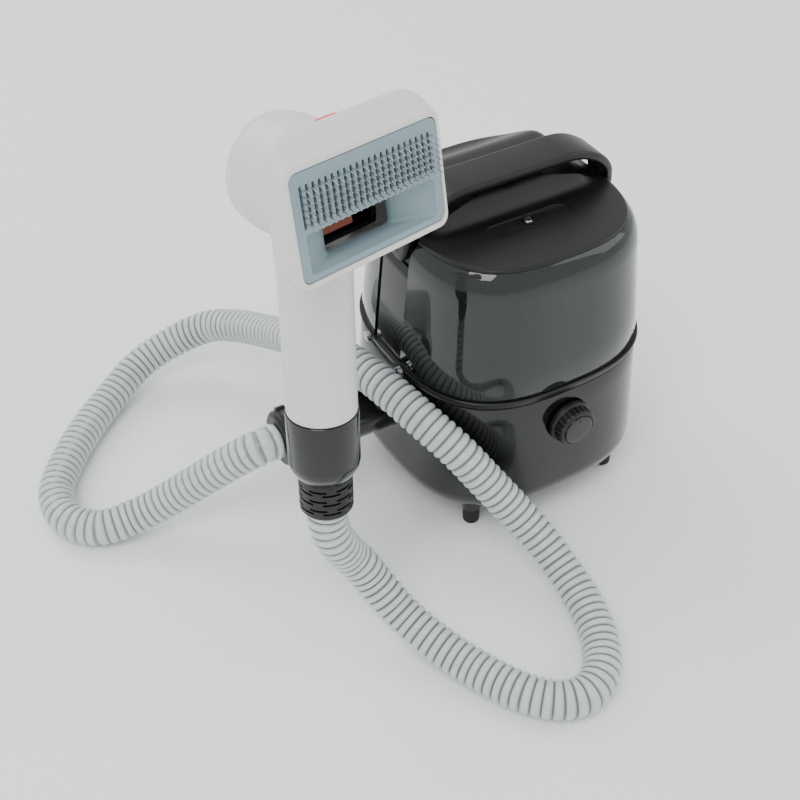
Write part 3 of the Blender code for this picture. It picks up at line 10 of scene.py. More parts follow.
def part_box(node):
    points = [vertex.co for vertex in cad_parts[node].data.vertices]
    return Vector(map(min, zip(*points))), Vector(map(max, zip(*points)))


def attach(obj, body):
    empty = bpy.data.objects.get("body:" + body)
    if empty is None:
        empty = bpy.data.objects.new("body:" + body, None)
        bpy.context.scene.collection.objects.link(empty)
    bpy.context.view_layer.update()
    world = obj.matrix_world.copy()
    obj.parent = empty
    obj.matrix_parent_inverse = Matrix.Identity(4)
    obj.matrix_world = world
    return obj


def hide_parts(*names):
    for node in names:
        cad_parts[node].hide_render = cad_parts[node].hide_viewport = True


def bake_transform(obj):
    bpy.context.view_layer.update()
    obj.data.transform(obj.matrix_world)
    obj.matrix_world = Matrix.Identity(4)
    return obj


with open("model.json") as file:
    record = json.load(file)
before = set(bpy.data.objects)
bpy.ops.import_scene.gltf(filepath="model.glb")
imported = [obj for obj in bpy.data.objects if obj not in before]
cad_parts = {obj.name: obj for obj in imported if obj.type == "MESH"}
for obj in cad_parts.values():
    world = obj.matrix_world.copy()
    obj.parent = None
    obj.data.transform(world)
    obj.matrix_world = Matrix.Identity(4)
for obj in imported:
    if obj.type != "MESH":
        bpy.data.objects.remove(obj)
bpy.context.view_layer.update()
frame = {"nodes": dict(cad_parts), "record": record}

bl_info = {
    "name": "Pet Grooming Dryer",
    "version": (1, 0, 0),
    "blender": (4, 5, 0),
    "location": "View3D > Sidebar > Dryer",
    "description": "Builds the finished pieces of a canister pet dryer round its frame",
    "category": "Object",
}

MM = 0.001
BASE_LOW, BASE_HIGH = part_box("base_housing")
CENTRE = Vector(((BASE_LOW[0] + BASE_HIGH[0]) / 2, (BASE_LOW[1] + BASE_HIGH[1]) / 2, 0))
BIN_LOW, BIN_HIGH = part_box("dust_bin")
SEAM_Z = BIN_HIGH[2]
PLAN_POWER = 2.83
RIM_HALF = 109.5 * MM
SEAM_HALF = 92.1 * MM
BASE_TOP = BASE_HIGH[2]
BASE_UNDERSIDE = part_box("base_plate")[0][2]
BASE_EDGE = 29 * MM
NOTCH_Y = (-17 * MM, 27 * MM)
HOSE_RADIUS = 16 * MM
KNOB_Z = 112 * MM
GRILLE_Z = 76 * MM
VENT_Z = 30 * MM
DUCT_X = (-102.8 * MM, -96 * MM)
DUCT_Y = (-12 * MM, 21 * MM)
CUT = 5 * MM
INLET = Vector((0, 4.5 * MM, 96.5 * MM))


class DryerSizes(bpy.types.PropertyGroup):
    """Sizes of the details that the frame leaves open."""
    rib_pitch: bpy.props.FloatProperty(
        name="Rib pitch", description="Distance from rib to rib along the hose",
        default=7.4 * MM, unit="LENGTH")
    rib_depth: bpy.props.FloatProperty(
        name="Rib depth", description="How far the valleys lie inside the ribs, as a share of the radius",
        default=0.16, min=0.0, max=0.4)
    pin_rows: bpy.props.IntProperty(
        name="Pin rows", description="Bent steel pins in one slot", default=6, min=1, max=12)
    pin_columns: bpy.props.IntProperty(
        name="Pin columns", description="Slots across the brush face", default=22, min=2, max=40)
    pin_reach: bpy.props.FloatProperty(
        name="Pin reach", description="How far the pins stand out of the face",
        default=10.6 * MM, unit="LENGTH")
    pleats: bpy.props.IntProperty(
        name="Filter pleats", description="Folds round the filter", default=72, min=12, max=200)
    segments: bpy.props.IntProperty(
        name="Round segments", description="Sides of the turned pieces", default=72, min=16, max=200)


class DryerColours(bpy.types.PropertyGroup):
    """Colours of the finishes, as sRGB hex."""
    white: bpy.props.StringProperty(
        name="White shell", description="Handset shell and grip", default="DAD8D4")
    blue_grey: bpy.props.StringProperty(
        name="Brush face", description="Face plate and nozzle", default="84999E")
    orange: bpy.props.StringProperty(name="Button", description="Release button", default="F23C16")
    black: bpy.props.StringProperty(name="Black shell", description="Base, collar and knob", default="0B0B0C")
    lid: bpy.props.StringProperty(name="Lid", description="Lid and carry handle", default="0E0E10")
    smoke: bpy.props.StringProperty(name="Smoke bin", description="Tint of the clear bin", default="3E4744")
    hose: bpy.props.StringProperty(name="Hose", description="Ribbed hose wall", default="C2CBC8")
    paper: bpy.props.StringProperty(name="Filter paper", description="Pleated filter", default="C9CBBB")


# ---------------------------------------------------------------- materials

def linear(hex_colour):
    """sRGB hex to linear RGBA."""
    channels = [int(hex_colour[i:i + 2], 16) / 255 for i in (0, 2, 4)]
    flat = [c / 12.92 if c <= 0.04045 else ((c + 0.055) / 1.055) ** 2.4 for c in channels]
    return (*flat, 1.0)


def add(tree, kind, settings=None, **links):
    """Add a node, set its attributes and inputs, and link sockets given by input name."""
    node = tree.nodes.new(kind)
    for key, value in (settings or {}).items():
        if hasattr(node, key):
            setattr(node, key, value)
        else:
            node.inputs[key].default_value = value
    for name, socket in links.items():
        tree.links.new(socket, node.inputs[name.replace("_", " ")])
    return node


def new_material(name):
    material = bpy.data.materials.new(name)
    material.use_nodes = True
    tree = material.node_tree
    shader = tree.nodes["Principled BSDF"]
    return material, tree, shader


def moulded(name, colour, roughness, grain_mm, grain_strength, variation=0.03, coat=0.0, ior=1.46):
    """Injection-moulded ABS: an even colour with a faint spark-eroded grain that breaks up the gloss."""
    material, tree, shader = new_material(name)
    shader.inputs["IOR"].default_value = ior
    shader.inputs["Coat Weight"].default_value = coat
    shader.inputs["Coat Roughness"].default_value = 0.05
    place = add(tree, "ShaderNodeTexCoord")
    cloud = add(tree, "ShaderNodeTexNoise", {"Scale": 1 / (60 * MM), "Detail": 2.0},
                Vector=place.outputs["Object"])
    base = linear(colour)
    shade = add(tree, "ShaderNodeMix", {"data_type": "RGBA"}, Factor=cloud.outputs["Fac"])
    for socket, share in zip([s for s in shade.inputs if s.type == "RGBA"], (1 - variation, 1 + variation)):
        socket.default_value = (*(min(1.0, c * share) for c in base[:3]), 1.0)
    colour_out = [s for s in shade.outputs if s.type == "RGBA"][0]
    tree.links.new(colour_out, shader.inputs["Base Color"])
    grain = add(tree, "ShaderNodeTexNoise", {"Scale": 1 / (grain_mm * MM), "Detail": 3.0},
                Vector=place.outputs["Object"])
    rough = add(tree, "ShaderNodeMapRange", {"To Min": roughness * 0.9, "To Max": roughness * 1.12},
                Value=grain.outputs["Fac"])
    tree.links.new(rough.outputs["Result"], shader.inputs["Roughness"])
    bump = add(tree, "ShaderNodeBump", {"Strength": grain_strength, "Distance": 0.05 * MM},
               Height=grain.outputs["Fac"])
    tree.links.new(bump.outputs["Normal"], shader.inputs["Normal"])
    return material


def smoke_polycarbonate(name, colour):
    """Tinted clear polycarbonate, polished: it shows the filter inside as through dark glasses."""
    material, tree, shader = new_material(name)
    shader.inputs["Base Color"].default_value = linear(colour)
    shader.inputs["Transmission Weight"].default_value = 0.82
    shader.inputs["IOR"].default_value = 1.45
    shader.inputs["Coat Weight"].default_value = 0.3
    shader.inputs["Coat Roughness"].default_value = 0.03
    place = add(tree, "ShaderNodeTexCoord")
    wave = add(tree, "ShaderNodeTexNoise", {"Scale": 1 / (35 * MM), "Detail": 1.0},
                Vector=place.outputs["Object"])
    rough = add(tree, "ShaderNodeMapRange", {"To Min": 0.02, "To Max": 0.05}, Value=wave.outputs["Fac"])
    tree.links.new(rough.outputs["Result"], shader.inputs["Roughness"])
    return material


def hose_plastic(name, colour):
    """Stretch hose of soft PE: milky ribs, with painted shade darkening the thin valleys where the wall folds
    in.
    """
    material, tree, shader = new_material(name)
    shader.inputs["Roughness"].default_value = 0.28
    shader.inputs["Coat Weight"].default_value = 0.2
    rib = add(tree, "ShaderNodeAttribute", {"attribute_name": "rib"})
    ramp = add(tree, "ShaderNodeValToRGB", Fac=rib.outputs["Fac"])
    base = linear(colour)
    # painted shade: in the rib valleys the colour drops to about a third of the hose colour, standing in for
    # the shade in the folds
    ramp.color_ramp.elements[0].position = 0.30
    ramp.color_ramp.elements[0].color = (*(c * 0.35 for c in base[:3]), 1.0)
    ramp.color_ramp.elements[1].position = 0.80
    ramp.color_ramp.elements[1].color = base
    tree.links.new(ramp.outputs["Color"], shader.inputs["Base Color"])
    shader.inputs["Subsurface Weight"].default_value = 0.12
    shader.inputs["Subsurface Radius"].default_value = (0.004, 0.004, 0.004)
    return material


def polished_steel(name, roughness, scratch_mm=3.0):
    """Drawn and polished steel wire or turned steel, with faint streaks."""
    material, tree, shader = new_material(name)
    shader.inputs["Base Color"].default_value = linear("C9C9CB")
    shader.inputs["Metallic"].default_value = 1.0
    place = add(tree, "ShaderNodeTexCoord")
    streak = add(tree, "ShaderNodeTexNoise", {"Scale": 1 / (scratch_mm * MM)}, Vector=place.outputs["Object"])
    rough = add(tree, "ShaderNodeMapRange", {"To Min": roughness * 0.8, "To Max": roughness * 1.3},
                Value=streak.outputs["Fac"])
    tree.links.new(rough.outputs["Result"], shader.inputs["Roughness"])
    return material


def pleated_paper(name, colour):
    """Glass-fibre filter paper: matt and fibrous, and a little dusty."""
    material, tree, shader = new_material(name)
    shader.inputs["Roughness"].default_value = 0.9
    place = add(tree, "ShaderNodeTexCoord")
    fibre = add(tree, "ShaderNodeTexNoise", {"Scale": 1 / (1.2 * MM), "Detail": 5.0},
                Vector=place.outputs["Object"])
    ramp = add(tree, "ShaderNodeValToRGB", Fac=fibre.outputs["Fac"])
    base = linear(colour)
    ramp.color_ramp.elements[0].color = (*(c * 0.75 for c in base[:3]), 1.0)
    ramp.color_ramp.elements[1].color = base
    tree.links.new(ramp.outputs["Color"], shader.inputs["Base Color"])
    bump = add(tree, "ShaderNodeBump", {"Strength": 0.3, "Distance": 0.1 * MM}, Height=fibre.outputs["Fac"])
    tree.links.new(bump.outputs["Normal"], shader.inputs["Normal"])
    return material


def make_materials(colours):
    return {
        "white_abs": moulded("satin_white_abs", colours.white, 0.36, 0.5, 0.10, 0.012),
        "blue_grey_abs": moulded("satin_blue_grey_abs", colours.blue_grey, 0.42, 0.45, 0.15, 0.02),
        "orange_abs": moulded("glossy_orange_abs", colours.orange, 0.30, 0.5, 0.05, 0.02),
        "gloss_black": moulded("piano_black_abs", colours.black, 0.12, 0.9, 0.04, 0.05, coat=0.25),
        "satin_black": moulded("satin_black_abs", colours.lid, 0.38, 0.35, 0.22, 0.05),
        "rubber_black": moulded("black_rubber", "1A1A1A", 0.72, 0.4, 0.30, 0.05),
        "smoke_clear": smoke_polycarbonate("smoke_polycarbonate", colours.smoke),
        "filter_paper": pleated_paper("pleated_filter_paper", colours.paper),
        "bright_steel": polished_steel("polished_steel_wire", 0.18),
        "motor_steel": polished_steel("pressed_motor_steel", 0.35),
        "circuit_green": moulded("soldered_circuit_board", "0C3A22", 0.45, 1.5, 0.2, 0.15),
        "hose_grey": hose_plastic("stretch_hose_plastic", colours.hose),
        "brown_abs": moulded("brown_moulded_abs", "7A3418", 0.45, 0.5, 0.15, 0.05),
        "olive_abs": moulded("olive_moulded_abs", "4A4526", 0.45, 0.5, 0.15, 0.05),
    }


MATERIALS = {}


# ---------------------------------------------------------------- mesh tools

def mesh_object(name, bm, material, body, slot=None, replaces=(), sharp=32, ride=True):
    """Link a closed mesh, given in the row frame, with its material, and hand it to its body."""
    bmesh.ops.remove_doubles(bm, verts=bm.verts, dist=1e-7)
    bmesh.ops.recalc_face_normals(bm, faces=bm.faces)
    if bm.calc_volume(signed=True) < 0:
        bmesh.ops.reverse_faces(bm, faces=bm.faces)
    mesh = bpy.data.meshes.new(name)
    bm.to_mesh(mesh)
    bm.free()
    mesh.shade_smooth()
    mesh.set_sharp_from_angle(angle=math.radians(sharp))
    piece = bpy.data.objects.new(name, mesh)
    bpy.context.scene.collection.objects.link(piece)
    mesh.materials.append(MATERIALS[material])
    if ride:
        declare(piece, body, replaces)
    return piece


def declare(piece, body, replaces=()):
    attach(piece, body)
    if replaces:
        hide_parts(*replaces)


def skin(rings, closed=False):
    bm = bmesh.new()
    loops = [[bm.verts.new(p) for p in ring] for ring in rings]
    count = len(loops[0])
    pairs = list(zip(loops, loops[1:]))
    if closed:
        pairs.append((loops[-1], loops[0]))
    for low, high in pairs:
        for i in range(count):
            j = (i + 1) % count
            bm.faces.new((low[i], low[j], high[j], high[i]))
    if not closed:
        bm.faces.new(list(reversed(loops[0])))
        bm.faces.new(loops[-1])
    return bm


def circle(radius, z, count, phase=0.0):
    return [Vector((radius * math.cos(phase + 2 * math.pi * i / count),
                    radius * math.sin(phase + 2 * math.pi * i / count), z)) for i in range(count)]


def rounded(profile, radius, steps=4):
    """Round the inner corners of a profile of (r, z) pairs with short curves."""
    result = [profile[0]]
    for before, corner, after in zip(profile, profile[1:], profile[2:]):
        a, c, e = Vector(before), Vector(corner), Vector(after)
        reach = min(radius, (a - c).length * 0.45, (e - c).length * 0.45)
        start = c + (a - c).normalized() * reach
        end = c + (e - c).normalized() * reach
        for i in range(steps + 1):
            t = i / steps
            result.append(tuple(start * (1 - t) ** 2 + c * 2 * t * (1 - t) + end * t * t))
    result.append(profile[-1])
    return result


def turned(profile, count, closed=False, radius=0.6 * MM, steps=3):
    loop = rounded(profile, radius, steps) if not closed else \
        rounded([profile[-1]] + list(profile) + [profile[0]], radius, steps)[1:-1]
    return skin([circle(r, z, count) for r, z in loop], closed)


def moved(bm, matrix):
    bmesh.ops.transform(bm, matrix=matrix, verts=bm.verts)
    return bm


def box(low, high):
    bm = bmesh.new()
    bmesh.ops.create_cube(bm, size=1.0)
    for vert in bm.verts:
        vert.co = Vector([low[k] + (vert.co[k] + 0.5) * (high[k] - low[k]) for k in range(3)])
    return bm


def joined(parts):
    whole = bmesh.new()
    for part in parts:
        mesh = bpy.data.meshes.new("part")
        part.to_mesh(mesh)
        part.free()
        whole.from_mesh(mesh)
        bpy.data.meshes.remove(mesh)
    return whole


def cut(piece, bm, operation="DIFFERENCE"):
    """Cut, or join, a shape given in the row frame, and keep the result as a plain mesh."""
    bmesh.ops.recalc_face_normals(bm, faces=bm.faces)
    mesh = bpy.data.meshes.new("cutter")
    bm.to_mesh(mesh)
    bm.free()
    tool = bpy.data.objects.new("cutter", mesh)
    bpy.context.scene.collection.objects.link(tool)
    modifier = piece.modifiers.new("cut", "BOOLEAN")
    modifier.solver = "EXACT"
    modifier.operation = operation
    modifier.object = tool
    settle(piece)
    bpy.data.objects.remove(tool)


def settle(piece, sharp=32):
    """Turn the piece's modifiers into plain mesh."""
    bpy.context.view_layer.update()
    graph = bpy.context.evaluated_depsgraph_get()
    mesh = bpy.data.meshes.new_from_object(piece.evaluated_get(graph))
    piece.modifiers.clear()
    piece.data = mesh
    mesh.shade_smooth()
    mesh.set_sharp_from_angle(angle=math.radians(sharp))


def rounded_rect(half_x, half_y, radius, z, steps=6, centre=(0.0, 0.0)):
    points = []
    for quarter in range(4):
        cx = centre[0] + (half_x - radius) * (1 if quarter in (0, 3) else -1)
        cy = centre[1] + (half_y - radius) * (1 if quarter in (0, 1) else -1)
        for i in range(steps + 1):
            angle = math.pi / 2 * (quarter + i / steps)
            points.append(Vector((cx + radius * math.cos(angle), cy + radius * math.sin(angle), z)))
    return points


def smooth_step(value, start, end):
    t = max(0.0, min(1.0, (value - start) / (end - start)))
    return t * t * (3 - 2 * t)


AXIS_X = Matrix.Rotation(math.radians(90), 4, "Y")
AXIS_FRONT = Matrix.Rotation(math.radians(90), 4, "X")
CANISTER = Matrix.Translation(CENTRE)


# ---------------------------------------------------------------- canister outline

PLAN_POINTS = 128


def plan_radius(angle, half, power=PLAN_POWER):
    return half * (abs(math.cos(angle)) ** power + abs(math.sin(angle)) ** power) ** (-1.0 / power)


def plan(half, z, count=PLAN_POINTS):
    angles = [2 * math.pi * (i + 0.5) / count for i in range(count)]
    return [Vector((plan_radius(a, half) * math.cos(a), plan_radius(a, half) * math.sin(a), z))
            for a in angles]


def plan_side(half, y, power=PLAN_POWER):
    return half * (1 - min(1.0, abs(y / half)) ** power) ** (1.0 / power)


def base_half(z):
    bend = BASE_UNDERSIDE + BASE_EDGE
    wall = RIM_HALF + 0.05 * (BASE_TOP - max(z, bend))
    if z >= bend:
        return wall
    drop = min(1.0, (bend - z) / BASE_EDGE)
    return wall - BASE_EDGE * (1 - math.sqrt(max(0.0, 1 - drop * drop)))


SHOULDER_Z = 239 * MM


def bin_half(z):
    wall = RIM_HALF - 0.088 * (min(z, SHOULDER_Z) - BIN_LOW[2])
    if z <= SHOULDER_Z:
        return wall
    turn = math.radians(75)
    rise = (SEAM_Z - SHOULDER_Z) / math.sin(turn)
    angle = math.asin(min(1.0, (z - SHOULDER_Z) / rise))
    return wall - (wall - SEAM_HALF) * (1 - math.cos(angle)) / (1 - math.cos(turn))


def notched_plan(half, z, floor_left, floor_right, low, high, steps=56):
    def notch(sign, floor, first, last):
        edges = [plan_side(half, first), plan_side(half, last)]
        depth = min(floor, min(edges) - 0.3 * MM)
        lean = 1.2 * MM if first < last else -1.2 * MM
        return [(sign * edges[0], first), (sign * (depth + 1.2 * MM), first + lean * 0.2),
                (sign * depth, first + lean), (sign * depth, last - lean),
                (sign * (depth + 1.2 * MM), last - lean * 0.2), (sign * edges[1], last)]

    def sweep(start, stop):
        begin = math.atan2(start[1], start[0])
        end = math.atan2(stop[1], stop[0])
        if end < begin:
            end += 2 * math.pi
        angles = [begin + (end - begin) * i / steps for i in range(1, steps)]
        return [(plan_radius(a, half) * math.cos(a), plan_radius(a, half) * math.sin(a)) for a in angles]

    right = notch(1, floor_right, low, high)
    left = notch(-1, floor_left, high, low)
    outline = right + sweep(right[-1], left[0]) + left + sweep(left[-1], right[0])
    return [Vector((x, y, z)) for x, y in outline]


# ---------------------------------------------------------------- handset frame

def handset_matrix():
    yaw, back, side = (math.radians(a) for a in (14.9, 5.5, 4.8))
    face = Vector((math.sin(yaw), -math.cos(yaw), 0))
    across = Vector((math.cos(yaw), math.sin(yaw), 0))
    up = (Vector((0, 0, 1)) - face * math.tan(back) + across * math.tan(side)).normalized()
    front = (face - up * face.dot(up)).normalized()
    right = up.cross(front)
    if right.dot(across) < 0:
        right.negate()
    matrix = Matrix((right, -front, up)).transposed().to_4x4()
    matrix.translation = CENTRE + Vector((-232 * MM, -116 * MM, 235.4 * MM))
    return matrix


HANDSET = handset_matrix()
BRUSH_Y = -56 * MM
BRUSH_Z = 184 * MM
BRUSH_PITCH = math.radians(8.7)
FACE = HANDSET @ Matrix.Translation((0, BRUSH_Y, BRUSH_Z)) @ Matrix.Rotation(-BRUSH_PITCH, 4, "X")
BUTTON = HANDSET @ Matrix.Translation((0, -18 * MM, 226 * MM)) @ Matrix.Rotation(-math.radians(25), 4, "X")
PLATE_WIDTH = 124 * MM
PLATE_HEIGHT = 69 * MM
COLLAR_LENGTH = 57 * MM
CUFF_LENGTH = 32 * MM


# ---------------------------------------------------------------- node trees for what repeats

def tree_with_inputs(name, inputs):
    tree = bpy.data.node_groups.new(name, "GeometryNodeTree")
    tree.is_modifier = True
    tree.interface.new_socket("Geometry", in_out="INPUT", socket_type="NodeSocketGeometry")
    for label, kind in inputs:
        tree.interface.new_socket(label, in_out="INPUT", socket_type="NodeSocket" + kind)
    tree.interface.new_socket("Geometry", in_out="OUTPUT", socket_type="NodeSocketGeometry")
    return tree, tree.nodes.new("NodeGroupInput"), tree.nodes.new("NodeGroupOutput")


def finish_tree(tree, geometry, material, out):
    """Every tree ends in real geometry with its material on."""
    real = add(tree, "GeometryNodeRealizeInstances", Geometry=geometry)
    paint = add(tree, "GeometryNodeSetMaterial", Geometry=real.outputs["Geometry"], Material=material)
    tree.links.new(paint.outputs["Geometry"], out.inputs["Geometry"])
    return tree


def repeat_tree():
    """Copies of one piece: each a step further on, and turned a little more about Z."""
    tree, given, out = tree_with_inputs(
        "repeat_piece", [("Count", "Int"), ("Step", "Vector"), ("Turn", "Float"), ("Material", "Material")])
    line = add(tree, "GeometryNodeMeshLine", Count=given.outputs["Count"], Offset=given.outputs["Step"])
    index = add(tree, "GeometryNodeInputIndex")
    turn = add(tree, "ShaderNodeMath", {"operation": "MULTIPLY"})
    tree.links.new(index.outputs["Index"], turn.inputs[0])
    tree.links.new(given.outputs["Turn"], turn.inputs[1])
    angles = add(tree, "ShaderNodeCombineXYZ", Z=turn.outputs["Value"])
    copies = add(tree, "GeometryNodeInstanceOnPoints", Points=line.outputs["Mesh"],
                 Instance=given.outputs["Geometry"], Rotation=angles.outputs["Vector"])
    return finish_tree(tree, copies.outputs["Instances"], given.outputs["Material"], out)


def ribbed_tube_tree():
    """A tube swept along a line, with narrow valleys between its ribs."""
    tree, given, out = tree_with_inputs(
        "ribbed_tube", [("Radius", "Float"), ("Pitch", "Float"), ("Depth", "Float"), ("Sides", "Int"),
                        ("Material", "Material")])
    curve = add(tree, "GeometryNodeMeshToCurve", Mesh=given.outputs["Geometry"])
    step = add(tree, "ShaderNodeMath", {"operation": "DIVIDE"})
    tree.links.new(given.outputs["Pitch"], step.inputs[0])
    step.inputs[1].default_value = 9.0
    fine = add(tree, "GeometryNodeResampleCurve", {"mode": "LENGTH"}, Curve=curve.outputs["Curve"],
               Length=step.outputs["Value"])
    place = add(tree, "GeometryNodeInputPosition")
    centre = add(tree, "GeometryNodeStoreNamedAttribute", {"data_type": "FLOAT_VECTOR", "domain": "POINT"},
                 Geometry=fine.outputs["Curve"], Value=place.outputs["Position"])
    centre.inputs["Name"].default_value = "centre"
    along = add(tree, "GeometryNodeSplineParameter")
    turns = add(tree, "ShaderNodeMath", {"operation": "DIVIDE"})
    tree.links.new(along.outputs["Length"], turns.inputs[0])
    tree.links.new(given.outputs["Pitch"], turns.inputs[1])
    phase = add(tree, "ShaderNodeMath", {"operation": "MULTIPLY"})
    tree.links.new(turns.outputs["Value"], phase.inputs[0])
    phase.inputs[1].default_value = math.pi
    swing = add(tree, "ShaderNodeMath", {"operation": "SINE"})
    tree.links.new(phase.outputs["Value"], swing.inputs[0])
    size = add(tree, "ShaderNodeMath", {"operation": "ABSOLUTE"})
    tree.links.new(swing.outputs["Value"], size.inputs[0])
    crest = add(tree, "ShaderNodeMath", {"operation": "POWER"})
    tree.links.new(size.outputs["Value"], crest.inputs[0])
    crest.inputs[1].default_value = 0.6
    ribs = add(tree, "GeometryNodeStoreNamedAttribute", {"data_type": "FLOAT", "domain": "POINT"},
               Geometry=centre.outputs["Geometry"], Value=crest.outputs["Value"])
    ribs.inputs["Name"].default_value = "rib"
    ring = add(tree, "GeometryNodeCurvePrimitiveCircle", Resolution=given.outputs["Sides"],
               Radius=given.outputs["Radius"])
    tube = add(tree, "GeometryNodeCurveToMesh", Curve=ribs.outputs["Geometry"],
               **{"Profile Curve": ring.outputs["Curve"]})
    tube.inputs["Fill Caps"].default_value = True
    middle = add(tree, "GeometryNodeInputNamedAttribute", {"data_type": "FLOAT_VECTOR"})
    middle.inputs["Name"].default_value = "centre"
    height = add(tree, "GeometryNodeInputNamedAttribute", {"data_type": "FLOAT"})
    height.inputs["Name"].default_value = "rib"
    spoke = add(tree, "ShaderNodeVectorMath", {"operation": "SUBTRACT"})
    here = add(tree, "GeometryNodeInputPosition")
    tree.links.new(middle.outputs["Attribute"], spoke.inputs[0])
    tree.links.new(here.outputs["Position"], spoke.inputs[1])
    low = add(tree, "ShaderNodeMath", {"operation": "SUBTRACT"})
    low.inputs[0].default_value = 1.0
    tree.links.new(height.outputs["Attribute"], low.inputs[1])
    deep = add(tree, "ShaderNodeMath", {"operation": "MULTIPLY"})
    tree.links.new(low.outputs["Value"], deep.inputs[0])
    tree.links.new(given.outputs["Depth"], deep.inputs[1])
    inward = add(tree, "ShaderNodeVectorMath", {"operation": "SCALE"}, Vector=spoke.outputs["Vector"],
                 Scale=deep.outputs["Value"])
    bent = add(tree, "GeometryNodeSetPosition", Geometry=tube.outputs["Mesh"],
               Offset=inward.outputs["Vector"])
    return finish_tree(tree, bent.outputs["Geometry"], given.outputs["Material"], out)


def grown(bm, tree, values, name="grown"):
    """Run a node tree on a mesh and give back the plain object it makes."""
    mesh = bpy.data.meshes.new(name)
    bm.to_mesh(mesh)
    bm.free()
    piece = bpy.data.objects.new(name, mesh)
    bpy.context.scene.collection.objects.link(piece)
    modifier = piece.modifiers.new(tree.name, "NODES")
    modifier.node_group = tree
    for item in tree.interface.items_tree:
        if item.in_out == "INPUT" and item.name in values:
            modifier[item.identifier] = values[item.name]
    settle(piece)
    return piece


def repeated(bm, count, step=(0, 0, 0), turn=0.0, material="satin_black"):
    """A mesh of the copies, as a bmesh, so that it can be placed, joined or used to cut."""
    piece = grown(bm, TREES["repeat"], {"Count": count, "Step": step, "Turn": turn,
                                        "Material": MATERIALS[material]})
    result = bmesh.new()
    result.from_mesh(piece.data)
    bpy.data.objects.remove(piece)
    return result


TREES = {}


def duct_slot(low, high):
    """The slot that the riser's air passes through, in the canister's frame."""
    return moved(box((DUCT_X[0], DUCT_Y[0], low - CUT), (DUCT_X[1], DUCT_Y[1], high + CUT)), CANISTER)


def placed(name, bm, material, body, slot, replaces=(), **more):
    """A piece drawn in the canister's frame."""
    return mesh_object(name, moved(bm, CANISTER), material, body, slot, replaces, **more)


# ---------------------------------------------------------------- operators

